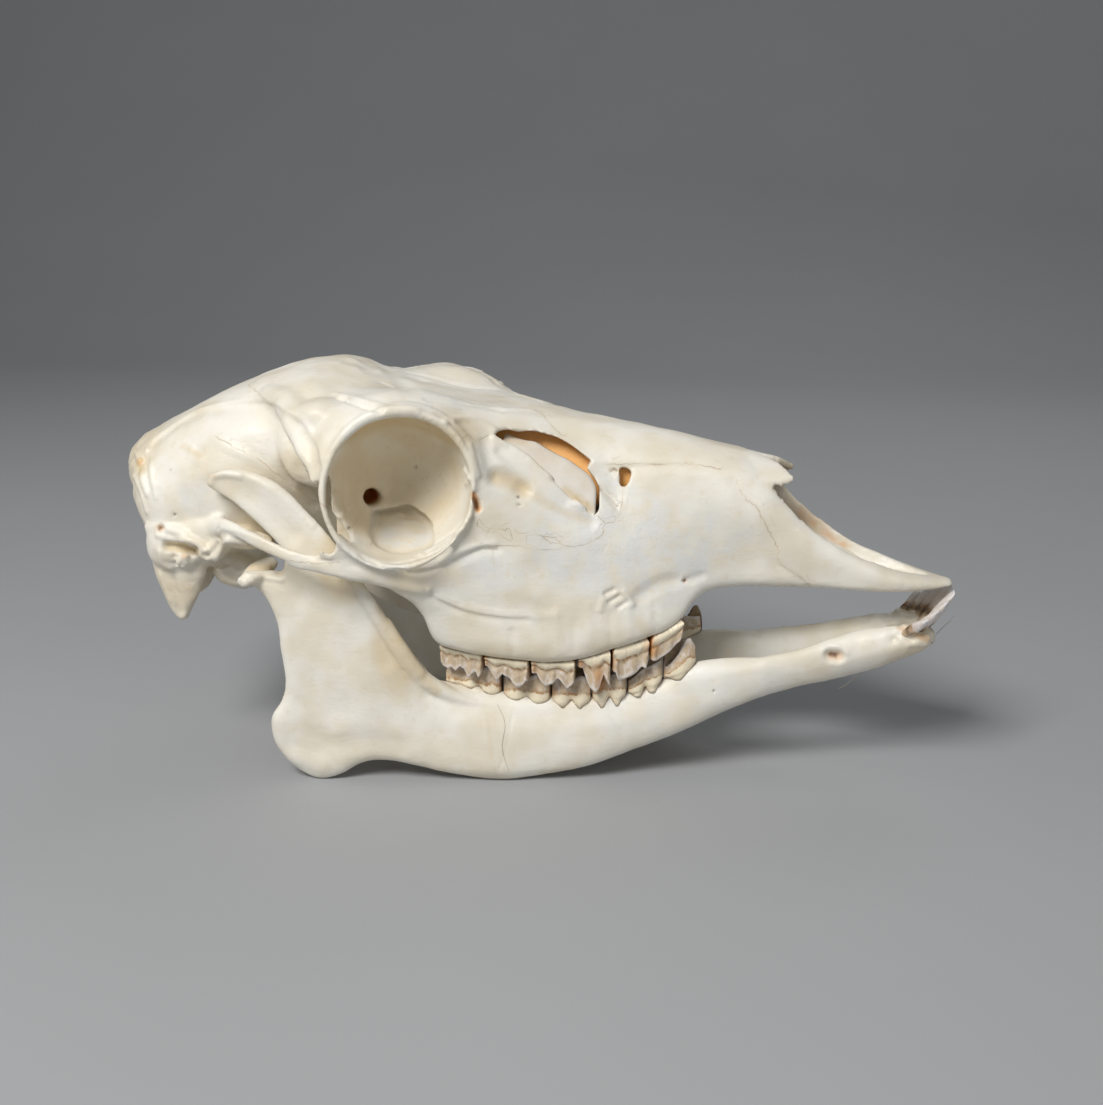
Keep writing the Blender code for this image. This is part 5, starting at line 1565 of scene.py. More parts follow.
@dataclass
class Cranium:
    """The upper skull: braincase, forehead, eye sockets, cheek arches, face, nose and palate in one bone."""

    coarse_voxel: float = 1.1
    cutter_voxel: float = 0.9
    fine_voxel: float = 0.68
    triangles: int = 195000
    orbit_centre: Row = (-36.9, 46.0, 95.2)
    orbit_long: float = 21.0
    orbit_tall: float = 21.5
    orbit_turn: float = math.radians(21.0)
    rim_width: Row = (0.7, 1.1, 1.6, 1.8, 1.3, 1.0, 1.1, 0.9, 0.7, 0.7)
    rim_thickness: Row = (0.8, 1.2, 1.5, 1.6, 1.5, 1.5, 1.4, 1.1, 0.9, 0.8)
    rim_knots: Row = (0, 40, 80, 120, 160, 195, 235, 275, 320, 360)
    rim_steps: int = 36
    nasal_thickness: float = 1.9
    swells: tuple[Row, ...] = ((16.0, 0.55), (6.0, 0.22))
    sutures: tuple[Path, ...] = (
        ((216, 437), (232, 446), (248, 454), (262, 461), (272, 470), (290, 484), (310, 498), (328, 508)),
        ((248, 384), (254, 389), (262, 397), (272, 405)),
        ((540, 411), (547, 420), (555, 429), (563, 436)),
        ((606, 464), (632, 464.5), (660, 464), (690, 464), (721, 469)),
        ((737, 482), (745, 498), (757, 508), (765, 524), (777, 546), (780, 563), (800, 577), (815, 590),
            (826, 597)),
        ((290, 561), (305, 563), (320, 564), (338, 563)),
    )
    cracks: tuple[Path, ...] = (
        ((458, 447), (461, 441), (465, 437), (469, 435), (473, 439), (478, 440), (482, 439), (488, 435)),
        ((480, 519), (477, 522), (477, 525), (479, 528), (482, 529), (484, 531), (488, 532), (490, 529),
            (492, 528), (495, 531), (497, 529), (498, 527), (502, 529), (507, 527.5), (510, 530),
            (507, 533), (511, 535), (515, 537), (519, 535), (523, 536), (528, 537), (533, 536), (547, 537),
            (557, 538), (563, 539)),
        ((563, 539), (560, 543), (567, 546), (573, 547.5)),
        ((492, 546), (512, 546), (532, 549), (548, 550), (565, 549), (573, 547.5), (587, 544), (595, 540),
            (602, 536), (605, 528)),
        ((493, 548), (493, 555), (495, 570)),
        ((623, 486), (623, 495), (622, 505), (620, 512), (620, 520)),
        ((596, 516), (600, 517), (602, 521), (606, 524), (609, 522), (613, 523), (616, 521), (620, 519)),
        ((599, 486), (602, 491), (606, 495), (612, 500.5), (616, 505), (619, 510)),
        ((378, 511), (382, 515), (380, 525), (374, 535), (371, 547)),
        ((358, 519), (350, 531)),
        ((331, 506), (335, 511)),
        ((440, 600), (467, 611), (500, 617), (527, 618)),
    )
    strokes: tuple[Stroke, ...] = (
        # Temporal ridge, with the hollow of the temple below it.
        Stroke(((142, 460), (152, 442), (166, 430), (184, 418), (200, 410), (220, 405), (240, 402),
            (260, 401.6), (272, 404), (286, 412), (296, 418), (304, 426), (310, 436), (316, 448),
            (318, 458)), 6.5, -0.9, 1),
        Stroke(((200, 410), (220, 405), (240, 402), (260, 401.6), (272, 404), (286, 412), (296, 418),
            (304, 426), (310, 436), (316, 448), (318, 458)), 2.4, 0.3),
        Stroke(((290, 428), (302, 448), (306, 468)), 7, -1.6),
        Stroke(((300, 470), (308, 490), (318, 500)), 4, -0.7),
        # Braincase: squamosal edge, muscle scars, nuchal ridges, small holes.
        Stroke(((216, 437), (232, 446), (248, 454), (262, 461), (272, 470), (290, 484), (310, 498)),
            3.4, 0.45, 1),
        Stroke(((176, 442), (184, 446), (192, 450)), 2.2, 0.3),
        Stroke(((182, 452), (190, 456), (200, 460)), 2, 0.25),
        Stroke(((196, 448), (203, 452)), 1.6, -0.3),
        Stroke(((136, 452), (141, 466), (142, 480), (147, 494)), 1.6, 0.6),
        Stroke(((148, 448), (150, 464), (152, 480), (156, 498)), 1.3, 0.45),
        Stroke(((143, 456), (146, 472), (148, 488)), 1.2, -0.5),
        Stroke(((134, 476), (141, 492), (147, 512)), 1.4, 0.5),
        Stroke(((160, 470), (176, 484), (186, 504)), 5, -0.5),
        Stroke(((206, 420), (226, 424), (246, 432)), 5, 0.35),
        Stroke(((160, 528),), 1.7, -2.6),
        Stroke(((175, 515),), 0.8, -1),
        Stroke(((170, 470),), 0.7, -0.8),
        Stroke(((218, 528),), 0.8, -1),
        # Ear region: the crest over the ear, the hollow under it, the hook in front, the pipe and its nubs.
        Stroke(((158, 535), (172, 539), (188, 540), (200, 544), (206, 551)), 1.7, 0.9),
        Stroke(((168, 546), (182, 548), (194, 550)), 2.3, -2.2),
        Stroke(((196, 557), (212, 562), (218, 556), (222, 546), (228, 540)), 1.6, 0.7),
        Stroke(((206, 556), (212, 552), (217, 546)), 1.8, -1.2),
        Stroke(((178, 562), (186, 556)), 1.5, 0.9),
        Stroke(((160, 552), (162, 562), (170, 568)), 1.8, 0.6),
        Stroke(((174, 556), (176, 564)), 1.2, -0.9),
        Stroke(((168, 574), (176, 594), (180, 612)), 2.2, -0.9),
        Stroke(((160, 574), (170, 600)), 1.4, 0.4),
        Stroke(((214, 564), (220, 570), (228, 568)), 1.4, 0.7),
        Stroke(((232, 566), (240, 572), (248, 570)), 1.3, 0.7),
        Stroke(((226, 574), (234, 580)), 1.3, -0.8),
        # Cheek arch: its sharp upper edge and the hollow of the jaw joint.
        Stroke(((222, 528), (248, 534), (280, 547), (300, 554), (330, 558)), 1.2, 0.35),
        Stroke(((236, 546), (256, 556), (276, 562)), 2.2, -0.6),
        # Brow and forehead.
        Stroke(((338, 398), (352, 402), (366, 407), (380, 410)), 1.7, -0.9),
        Stroke(((336, 394), (352, 397), (368, 402), (384, 406)), 1.8, 0.5),
        Stroke(((352, 362), (380, 366), (396, 376), (410, 392)), 5, -0.5),
        Stroke(((424, 411), (437, 415), (450, 421)), 1.6, -0.5),
        Stroke(((428, 399), (460, 404), (500, 410)), 2.6, -0.5),
        Stroke(((440, 405), (490, 408), (533, 410)), 2.2, 0.35),
        Stroke(((445, 422), (457, 419), (473, 419), (488, 425), (495, 430)), 1.8, 0.5),
        Stroke(((407, 372), (425, 376), (441, 380), (462, 386), (494, 389)), 2.2, -0.4),
        Stroke(((540, 411), (560, 430), (600, 455)), 5, -0.35),
        # Orbit: ledge, plate, folds, hook and slot of its front edge.
        Stroke(((380, 510), (390, 508), (404, 506), (412, 507), (420, 512), (430, 523), (432, 535)),
            8, -2, 1),
        Stroke(((376, 509), (390, 507), (404, 505), (413, 506), (422, 512)), 1.4, 0.6),
        Stroke(((420, 555), (440, 543), (460, 531), (470, 515)), 1.6, 0.7),
        Stroke(((426, 552), (446, 538), (462, 522)), 1.8, -0.7),
        Stroke(((348, 507), (340, 517)), 1.4, 0.6),
        Stroke(((340, 470), (341, 490), (346, 505)), 1.5, 0.5),
        Stroke(((416, 467),), 0.9, -1.3),
        Stroke(((349, 528),), 1, -1.2),
        Stroke(((466, 470), (470, 478), (467, 484)), 1.6, 0.9),
        Stroke(((474, 496), (477, 502), (478, 508)), 1.7, -2.6),
        Stroke(((470, 445), (474, 460), (478, 475)), 1.7, 0.6),
        Stroke(((486, 444), (490, 462), (492, 478)), 3.4, -0.6),
        # The ledge below the orbit's front and the groove beneath it.
        Stroke(((366, 557), (390, 567), (412, 571), (430, 569), (450, 562), (470, 552), (482, 547),
            (494, 547)), 3.4, -0.8, 1),
        Stroke(((440, 561), (462, 550), (482, 545), (494, 545)), 1.4, 0.4),
        # Tear bone: pit, small holes, groove and the fold along the opening.
        Stroke(((500, 478), (512, 482), (522, 488)), 4.6, -1.7),
        Stroke(((522, 488), (545, 500), (568, 512), (590, 522)), 3.4, -0.8),
        Stroke(((517.5, 497),), 0.7, -0.8),
        Stroke(((519, 505),), 0.7, -0.7),
        Stroke(((494, 438), (503, 443), (515, 449), (527, 457), (540, 469), (553, 480), (567, 494),
            (578, 504), (590, 513)), 1.8, 0.8),
        Stroke(((500, 452), (520, 468), (545, 488), (565, 502)), 2.6, -0.6),
        Stroke(((600, 474), (611, 480), (614, 494)), 4.4, -0.7),
        Stroke(((599, 488), (604, 493), (610, 499), (617, 508)), 1.1, -0.5),
        Stroke(((601, 500), (608, 510)), 3.6, 0.45),
        Stroke(((611, 471), (614, 469), (616.5, 471)), 0.9, -0.9),
        # Upper jaw: crest, hollow before it, dimples, root swellings, the canal's mouth.
        Stroke(((428, 592), (440, 600), (467, 611), (500, 617), (527, 618)), 2.6, -0.5, 1),
        Stroke(((440, 598), (467, 609), (500, 615), (527, 616), (556, 615)), 2.4, 0.3),
        Stroke(((540, 575), (570, 580), (600, 572)), 9, -0.7),
        Stroke(((606, 594), (614, 590)), 1.3, -0.8),
        Stroke(((610, 602), (620, 596)), 1.2, -0.7),
        Stroke(((618, 608), (627, 602)), 1.2, -0.6),
        Stroke(((603, 600), (600, 610)), 1.6, 0.5),
        Stroke(((624, 592), (632, 604)), 1.8, 0.6),
        Stroke(((640, 596), (660, 584), (676, 581)), 3.6, -0.7),
        Stroke(((685, 581),), 1.1, -1.8),
        Stroke(((690, 580), (702, 576)), 2.2, -0.5),
        Stroke(((556, 612), (559, 650)), 2.6, 0.24),
        Stroke(((589, 606), (589, 642)), 2.4, 0.24),
        Stroke(((628, 606), (630, 636)), 2.4, 0.24),
        Stroke(((574, 622), (574, 652)), 2, -0.24),
        Stroke(((610, 614), (611, 646)), 2, -0.24),
        Stroke(((655, 606), (656, 630)), 2.2, -0.24),
        Stroke(((512, 632), (513, 654)), 2, -0.35),
        # Snout: the raised edge of the nasal bone and of the bone in front.
        Stroke(((606, 464), (632, 464.5), (660, 464), (690, 464), (721, 469)), 3, -0.35, 1),
        Stroke(((737, 482), (745, 498), (757, 508), (765, 524), (777, 546), (780, 563), (800, 577),
            (815, 590)), 3, -0.3, 1),
        Stroke(((700, 500), (720, 530), (740, 556)), 9, -0.5),
    )

    def rim_stations(self) -> list[Row]:
        """Gives the places round one orbit's rim: a broad band above and behind, and a thin edge in front.

        Returns:
            Stations of a closed tube, drawn for the left half.
        """
        x, y, z = self.orbit_centre
        ahead, aside = math.cos(self.orbit_turn), math.sin(self.orbit_turn)
        stations = []
        for step in range(self.rim_steps):
            degrees = 360.0 / self.rim_steps * step
            turn = math.radians(degrees)
            wide = blended(self.rim_width, self.rim_knots, degrees)
            thick = blended(self.rim_thickness, self.rim_knots, degrees)
            along = math.cos(turn) * (self.orbit_long + wide)
            out = thick * 0.2
            stations.append((
                x + along * ahead + out * aside,
                y - 2.2 * math.sin(turn) + out * ahead - along * aside,
                z + math.sin(turn) * (self.orbit_tall + wide),
                wide,
                thick,
            ))
        return stations

    def collar_stations(self) -> list[Row]:
        """Gives the places of the fill between the brow and the upper half of one orbit's rim."""
        return [(x, y - 3.0, z - 0.8, 2.8, 2.6) for x, y, z, _, _ in (self.rim_stations() * 2)[34:56]]

    def masses(self) -> list[Skin]:
        """Makes the solid masses that the holes are cut from.

        Returns:
            Their skins.
        """
        shapes = [lofted(BRAINCASE), lofted(FACE)]
        for side in Side:
            across = (0.36, side.value * 0.93, 0.0)
            shapes.append(tube(self.collar_stations(), side, up=across, sides=16, spans=1))
            shapes += [ball(centre, radii, side, turn) for centre, radii, turn in SKULL_LUMPS]
            shapes.append(tube(WING, side))
            shapes += [ball(centre, radii, side, turn) for centre, radii, turn in BROW_LUMPS]
        return shapes

    def holes(self) -> list[Skin]:
        """Makes the cutters of the orbits, cheek openings, nose, throat and neck opening.

        Returns:
            Their skins.
        """
        x, y, z = self.orbit_centre
        cup = [(x + 6.0, y + 15.0, z + 0.5, 23.0, 24.5), (x + 2.2, y + 5.5, z + 0.2, 21.6, 22.2),
               (x, y, z, self.orbit_long, self.orbit_tall), (x - 2.6, y - 7.0, z - 0.2, 20.6, 20.8),
               (x - 6.0, y - 15.0, z - 0.8, 18.2, 18.4), (x - 9.5, y - 23.0, z - 2.2, 13.5, 14.4),
               (x - 12.0, y - 29.0, z - 3.5, 8.0, 9.0), (x - 13.5, y - 32.0, z - 4.2, 3.0, 4.0)]
        cutters = [lofted(NOSE_ROOM), lofted(THROAT_ROOM), tube(NECK_OPENING, sides=28)]
        before, behind = ORBIT_HOLLOW_DEPTH
        blocks = [[(*spot, *sides) for spot in outline] for outline, sides in SIGHT_CUTS]
        blocks.append([(px, py, depth + before, depth - behind) for px, py, depth in ORBIT_HOLLOW])
        for side in Side:
            cutters.append(tube(cup, side, sides=40))
            cutters.append(tube(PASSAGE, side, sides=28))
            cutters.append(tube(BAR_HOLLOW, side, up=(1.0, 0.0, 0.0), sides=20))
            cutters.append(tube(UNDER_ORBIT, side, sides=28))
            cutters.append(plate(BLADE_ROOM, side.value * BLADE_ROOM_MIDDLE, BLADE_ROOM_HALF))
            cutters += [along_sight(block, side) for block in blocks]
            cutters.append(tube(OPTIC_CANAL, side, sides=16))
        return cutters

    def nasal_tip(self, side: Side) -> Skin:
        """Makes the free front end of one nasal bone, cut off aslant with its point outwards.

        Args:
            side: The half of the skull.

        Returns:
            Its skin.
        """
        rings = []
        for x, arc in NASAL_TIP:
            outer = smooth_row(arc, 4)
            inner = [(y, z - self.nasal_thickness) for y, z in reversed(outer)]
            rings.append([point(x, side.value * y, z) for y, z in outer + inner])
        return skin(rings)

    def thin_parts(self, side: Side) -> list[Skin]:
        """Makes one side's rims, arches, plates and spikes.

        Args:
            side: The half of the skull.

        Returns:
            Their skins.
        """
        across = (0.36, side.value * 0.93, 0.0)
        shapes = [tube(self.rim_stations(), side, up=across, sides=14, spans=2, closed=True)]
        shapes += [tube(stations, side, sides=sides)
                   for stations, sides in ((ARCH, 18), (JUGAL_STRIP, 16), (JUGAL_LOW, 16))]
        shapes.append(ball(*JUGAL_KNOB, side))
        shapes.append(tube(EAR_SPIKE, side, up=(1.0, 0.0, 0.0), sides=18))
        shapes += [tube(stations, side, sides=sides) for stations, sides in ((EAR_PIPE, 16), (EAR_SHELF, 14))]
        shapes += [ball(place, radii, side) for place, radii in EAR_LUMPS]
        shapes.append(self.nasal_tip(side))
        shapes.append(plate(THROAT_WING, side.value * THROAT_WING_MIDDLE, THROAT_WING_HALF))
        return shapes

    def inner_parts(self) -> list[Skin]:
        """Makes the plates inside the nose: the middle wall and the scrolls beside it.

        Returns:
            Their skins.
        """
        shapes = [plate(NOSE_WALL, 0.0, NOSE_WALL_HALF)]
        for side in Side:
            for scroll in NOSE_SCROLLS:
                shapes.append(tube(scroll, side, sides=14))
        return shapes

    def shape(self) -> BoneSkin:
        """Builds the whole bone with all ridges, grooves and dents.

        Returns:
            The bone.
        """
        bulk = fuse("skull_bone", self.masses(), self.coarse_voxel, 5)
        drop_crumbs(carve(bulk, self.holes(), self.cutter_voxel))
        parts = [reopened(bulk)] + self.inner_parts()
        for side in Side:
            parts += self.thin_parts(side)
        made = drop_crumbs(fuse("skull_bone", parts, self.fine_voxel, 4))
        bone = BoneSkin(made)
        for size, height in self.swells:
            bone.roughen(size, height)
        nape = cloud(bone.places, (-128, 0, 88), (16, 40, 22))
        ears = cloud(bone.places, (-110, 0, 66), (20, 50, 16))
        bone.roughen(3.2, 0.6, np.maximum(nape, ears))
        bone.roughen(2.6, 0.4, cloud(bone.places, (-92, 0, 66), (16, 50, 12)))
        bone.stroke(self.strokes)
        thin_out(made, self.triangles)
        bone.refresh()
        bone.keep_inside()
        return bone

    def colour(self, bone: BoneSkin) -> None:
        """Paints the sutures and stains, dark painted shade in the holes, tan painted shade in the hollows,
        and the orange inside the nose.

        Args:
            bone: The finished bone.
        """
        paint = BonePaint(bone)
        # Orange inside the nose: orange-brown bone, brightened as painted glow of light through the thin
        # bone.
        paint.region(Tint.ORANGE, cloud(bone.places, (4, 0, 90), (36, 14, 16)) * (bone.facing[:, 2] < 0.25))
        for path in self.sutures:
            paint.seam(path, 0)
        for path in self.cracks:
            paint.seam(path, 1, 2.0)
        for side in Side:
            paint.tints(BONE_TINTS, side)
            sieve = cloud(bone.places, (22, side.value * 26, 80), (24, 14, 12))
            paint.rough = np.maximum(paint.rough, 0.8 * sieve)
        for tint, patches in BONE_BLOTS.items():
            paint.blots(tint, patches)
        paint.rough = np.maximum(paint.rough, 0.3 * cloud(bone.places, (0, 0, 60), (60, 50, 24)))
        paint.store()

    def build(self, finish: Material) -> None:
        """Makes the upper skull, dressed.

        Args:
            finish: Its bone material.
        """
        bone = self.shape()
        self.colour(bone)
        dress(bone.made, finish, "cranium_bone", "cranium")


@dataclass
class CheekShells:
    """The paper-thin shells that stand in the opening in front of each orbit."""

    def build(self, grain: Tree, seam: Tree) -> None:
        """Makes the scrolls and the orange wall behind them, each for both sides at once. The wall's bright
        orange is orange-brown bone brightened as painted glow of light through the thin bone.

        Args:
            grain: The bone grain group.
            seam: The suture line group.
        """
        thin = BoneFinish("thin_bone", cream=(0.74, 0.66, 0.56, 1.0), pale=(0.84, 0.80, 0.74, 1.0))
        # Bright orange: painted glow of light through the thin bone, over its orange-brown.
        inner = BoneFinish("inner_bone", orange=(0.98, 0.50, 0.13, 1.0))
        for name, edges, bulge, tints, blots, finish in (
            ("cheek_scrolls", CHEEK_SCROLL, CHEEK_SCROLL_BULGE, SCROLL_TINTS, SCROLL_STAINS_AND_SHADE, thin),
            ("inner_walls", INNER_WALL, INNER_WALL_BULGE, {Tint.ORANGE: 0.9}, [], inner),
        ):
            whole = bmesh.new()
            for side in Side:
                flip = Vector((1.0, -side.value, 1.0))
                free, held = ([PHOTO.on_wall(spot[:2], -spot[2]) * flip for spot in path] for path in edges)
                gather(whole, shell(free, held, bulge))
            bone = BoneSkin(as_object(name, whole))
            paint = BonePaint(bone)
            for tint, amount in tints.items():
                paint.region(tint, np.full(len(bone.places), amount))
            paint.blots(Tint.WARM, blots)
            paint.store()
            dress(bone.made, finish.build(grain, seam), "cranium_bone")


# Lower jaw.

# The side outline of one jaw half, round from the chin along the belly to the angle and back over the top.
JAW_OUTLINE = [
    (120.5, 45.2), (116, 41), (108, 37.2), (98, 33.3), (88, 30.6), (78, 28.6), (67, 25.2), (56, 20.6),
    (45, 15.4), (34, 10.4), (22, 6.4), (11, 3), (0, 0.9), (-10, 0), (-20, 0.6), (-30, 2.6), (-40, 5.2),
    (-48, 6.4), (-54.5, 5.6), (-59.5, 2.2), (-65, 0.1), (-70, 0.4), (-75.5, 4), (-79, 8.6), (-81.2, 14),
    (-81.4, 20), (-78.3, 26.4), (-76.9, 33), (-77.6, 42), (-78.2, 50), (-80.6, 57.2), (-84, 61.5),
    (-88, 64.6), (-87.5, 68.2), (-82, 68.4), (-77.6, 67.6), (-75.4, 70.6), (-77, 75), (-81.5, 79.8),
    (-87, 84.8), (-92.5, 89.4), (-98, 92.6), (-98.4, 96), (-93, 98.2), (-86, 97.8), (-78.5, 95),
    (-71.5, 89.8), (-64.8, 82.4), (-58.5, 74), (-53, 65.4), (-48.2, 56.8), (-43.2, 48.4), (-39, 41.6),
    (-35, 36), (-31, 31.2), (-20, 28.8), (-8, 27.2), (6, 26.6), (20, 26.9), (31, 29.2), (40, 32.9),
    (48, 37.2), (56, 38.6), (67, 39.6), (78, 41.4), (89, 44.6), (99, 47.8), (108, 49.3), (114.5, 50.2),
    (119.5, 49.6),
]
# Places along the jaw half and its distance from the middle of the skull there.
JAW_SIDE = [
    (-100, 41.5), (-80, 40), (-60, 38.3), (-40, 34.5), (-20, 30.2), (0, 26.8), (20, 23.6), (35, 20.8),
    (50, 18), (65, 14.6), (77, 11.4), (88, 8.4), (97, 6.6), (108, 6), (121, 6.2),
]
JOINT_HEAD = [
    (-87, 46, 65, 1.8, 1.4),
    (-85.4, 42.6, 65.8, 3.2, 1.8),
    (-84.2, 37, 67, 4.2, 2.2),
    (-83.6, 30.5, 67.6, 3.2, 2),
]
FRONT_RIDGE = [
    (-55, 39.6, 68, 1.6, 1.6), (-48.8, 37.8, 56, 2.4, 2.4), (-42.4, 35.8, 44, 2.8, 2.8),
    (-35.6, 33.4, 33.6, 2.8, 2.8), (-26, 30.6, 26.8, 2.8, 2.4), (-12, 27.6, 22.5, 2.8, 1.8),
]
# Tints and patches, written like those of the upper skull.
JAW_TINTS = {
    Tint.WARM: [
        ((-42, 36, 46), (9, 8, 22), 0.6), ((-58, 38, 70), (9, 8, 14), 0.5),
        ((-95, 38, 93), (8, 8, 6), 0.4), ((112, 6, 42), (9, 9, 6), 0.4), ((0, 28, 31), (50, 12, 4), 0.4),
    ],
    Tint.COOL: [
        ((50, 20, 24), (60, 16, 18), 0.4),
    ],
}
JAW_BLOTS = {
    Tint.WARM: [
        # Warm: the first patch is tan painted shade on the joint head under the skull's socket; the rest are
        # real stains.
        (((252, 567), (280, 569)), 2.6, 0.7), (((890, 620), (905, 622), (925, 636)), 3, 0.6),
        (((488, 720), (492, 760), (500, 785)), 1, 0.3),
        (((380, 610), (398, 640), (416, 668), (436, 690)), 3.4, 0.7),
    ],
    Tint.ORANGE: [
        (((832, 655), (839, 656)), 2.6, 0.45), (((900, 628), (915, 634), (928, 640)), 1.6, 0.35),
    ],
    Tint.DARK: [
        # Dark dots: painted shade inside holes and a groove.
        (((831, 654), (835, 655)), 1.5, 0.85), (((714, 691),), 0.6, 0.9), (((932, 643),), 0.6, 0.8),
        (((280, 571),), 0.7, 0.8),
    ],
}


@dataclass
class JawHalf:
    """One half of the lower jaw: body, angle, joint head and the tall blade in front of it."""

    side: Side
    plate_half: float = 3.0
    flat_half: float = 2.6
    coarse_voxel: float = 1.2
    fine_voxel: float = 0.55
    triangles: int = 110000
    swells: tuple[Row, ...] = ((18.0, 0.5), (6.0, 0.14))
    strokes: tuple[Stroke, ...] = (
        Stroke(((831, 655), (838, 656)), 3, -2.6),
        Stroke(((826, 650), (836, 648), (846, 652)), 1.6, 0.35),
        Stroke(((714, 691),), 0.7, -1),
        Stroke(((894, 640),), 1.4, -1),
        Stroke(((932, 643),), 0.8, -0.9),
        Stroke(((892, 622), (904, 626), (916, 634)), 1.8, 0.7),
        Stroke(((900, 634), (912, 640)), 1.4, -0.6),
        Stroke(((250, 568), (266, 567), (280, 570)), 2.2, -0.9),
        Stroke(((246, 575), (264, 577), (282, 580)), 1.4, 0.6),
        Stroke(((212, 476), (224, 474), (240, 476)), 1.8, 0.5),
        Stroke(((208, 484), (214, 477), (224, 474), (240, 475), (256, 479), (270, 487), (286, 499),
            (312, 525)), 2, 0.35),
        Stroke(((226, 486), (250, 496), (272, 514), (292, 534)), 5, -0.7),
        Stroke(((300, 600), (306, 640), (316, 680), (330, 710)), 9, -0.8),
        Stroke(((366, 580), (384, 610), (402, 645), (420, 672)), 3, 0.6),
        Stroke(((352, 590), (366, 625), (384, 660)), 5, -0.5),
        Stroke(((276, 716), (280, 740), (292, 756), (322, 764)), 4, 0.5),
        Stroke(((286, 700), (300, 722), (322, 742)), 6, -0.5),
        Stroke(((340, 745), (372, 742), (400, 746)), 5, -0.45),
        Stroke(((470, 730), (530, 738), (600, 732)), 8, 0.5),
        Stroke(((430, 700), (500, 716), (580, 716), (650, 700)), 5, -0.35),
        Stroke(((700, 668), (760, 656), (820, 640), (870, 628)), 4, -0.4),
        Stroke(((478, 688),), 2.4, 0.8),
        Stroke(((532, 688),), 2.4, 0.8),
        Stroke(((578, 688),), 2.2, 0.7),
        Stroke(((618, 694),), 2.2, 0.5),
        Stroke(((512, 716), (508, 740), (500, 768)), 0.9, -0.15),
    )

    def thickness(self, x: float, z: float) -> Spot:
        """Gives half the jaw's thickness and the width of its rounded edge at a place.

        Args:
            x: Place along the skull in millimetres.
            z: Height above the floor.

        Returns:
            Half the thickness and the width of the edge.
        """
        along = (-100, -75, -55, -35, -15, 10, 35, 50, 65, 77, 88, 97, 108, 121)
        body = blended((1.4, 2.2, 3.2, 4.6, 5.2, 5.4, 5.0, 4.6, 4.2, 4.0, 4.2, 4.9, 5.2, 4.6), along, x)
        if x < -40.0:
            high = blended((3.0, 2.3, 2.6, 2.6, 1.5), (0, 12, 35, 62, 80), z)
            body += (high - body) * min(1.0, (-40.0 - x) / 20.0)
        return body, body * 1.5 + 1.0

    def lean(self, x: float, z: float) -> float:
        """Gives how far a place of the jaw leans outwards.

        Args:
            x: Place along the skull in millimetres.
            z: Height above the floor.

        Returns:
            The distance outwards from the jaw's own middle line.
        """
        back = blended((0.0, 1.0, 0.0, -2.0), (0, 20, 55, 98), z)
        body = blended((1.0, -3.4), (4, 29), z)
        front = blended((0.0, 1.6), (34, 50), z)
        if x < -30.0:
            return body + (back - body) * min(1.0, (-30.0 - x) / 20.0)
        return body + (front - body) * max(0.0, min(1.0, (x - 40.0) / 30.0))

    def blade(self) -> Piece:
        """Makes the jaw's curved plate, rounded towards its outline.

        Returns:
            The plate.
        """
        made = fuse("jaw", [plate(JAW_OUTLINE, 0.0, self.plate_half)], self.coarse_voxel, 1)
        outline = np.array(smooth_row(JAW_OUTLINE, 2, closed=True))
        ends = np.roll(outline, -1, axis=0)
        lanes, offsets = zip(*JAW_SIDE)
        for vertex in made.data.vertices:
            x, z = vertex.co.x / MM - FORWARD_SHIFT, vertex.co.z / MM
            body, edge = self.thickness(x, z)
            run = ends - outline
            gap = np.array((x, z)) - outline
            share = np.clip((gap * run).sum(1) / (run * run).sum(1), 0.0, 1.0)
            away = np.sqrt(((gap - run * share[:, None]) ** 2).sum(1)).min()
            inward = min(float(away) / edge, 1.0)
            bulge = math.sqrt(max(0.0, 1.0 - (1.0 - inward) ** 2))
            height = max(-1.0, min(1.0, vertex.co.y / (self.flat_half * MM)))
            middle = self.side.value * (blended(offsets, lanes, x) + self.lean(x, z))
            vertex.co.y = (middle + height * bulge * body) * MM
        return made

    def colour(self, bone: BoneSkin, guide: BoneSkin) -> None:
        """Paints the jaw's stains, and the painted shade in its holes and under the skull's joint socket.

        Args:
            bone: The finished jaw half.
            guide: The right half, which the stains are laid on.
        """
        paint = BonePaint(bone, guide)
        paint.tints(JAW_TINTS, self.side)
        for tint, patches in JAW_BLOTS.items():
            paint.blots(tint, patches)
        paint.rough = 0.5 * cloud(bone.places, (0, self.side.value * 28, 32), (52, 14, 5))
        paint.store()

    def build(self, finish: Material) -> None:
        """Makes the jaw half, dressed.

        Args:
            finish: Its bone material.
        """
        parts = [reopened(self.blade())]
        parts += [tube(stations, self.side, sides=18) for stations in (JOINT_HEAD, FRONT_RIDGE)]
        made = drop_crumbs(fuse(f"jaw_bone_{self.side.word}", parts, self.fine_voxel, 6))
        bone = BoneSkin(made)
        guide = bone if self.side is Side.RIGHT else BoneSkin(bpy.data.objects["jaw_bone_right"])
        bone.stroke(self.strokes, guide)
        for size, height in self.swells:
            bone.roughen(size, height)
        bone.roughen(2.6, 0.9, cloud(bone.places, (113, 0, 47), (13, 16, 7)))
        thin_out(made, self.triangles)
        bone.refresh()
        bone.keep_inside()
        self.colour(bone, guide)
        dress(made, finish, "jaw_bone", f"mandible_{self.side.word}")


# Teeth.


@dataclass(frozen=True)
class ToothSize:
    """Sizes of one cheek tooth in millimetres, and the free edge of its cheek side in picture points."""

    rear: float
    front: float
    width: float
    gum_rear: float
    gum_front: float
    edge: Path
    lobes: int


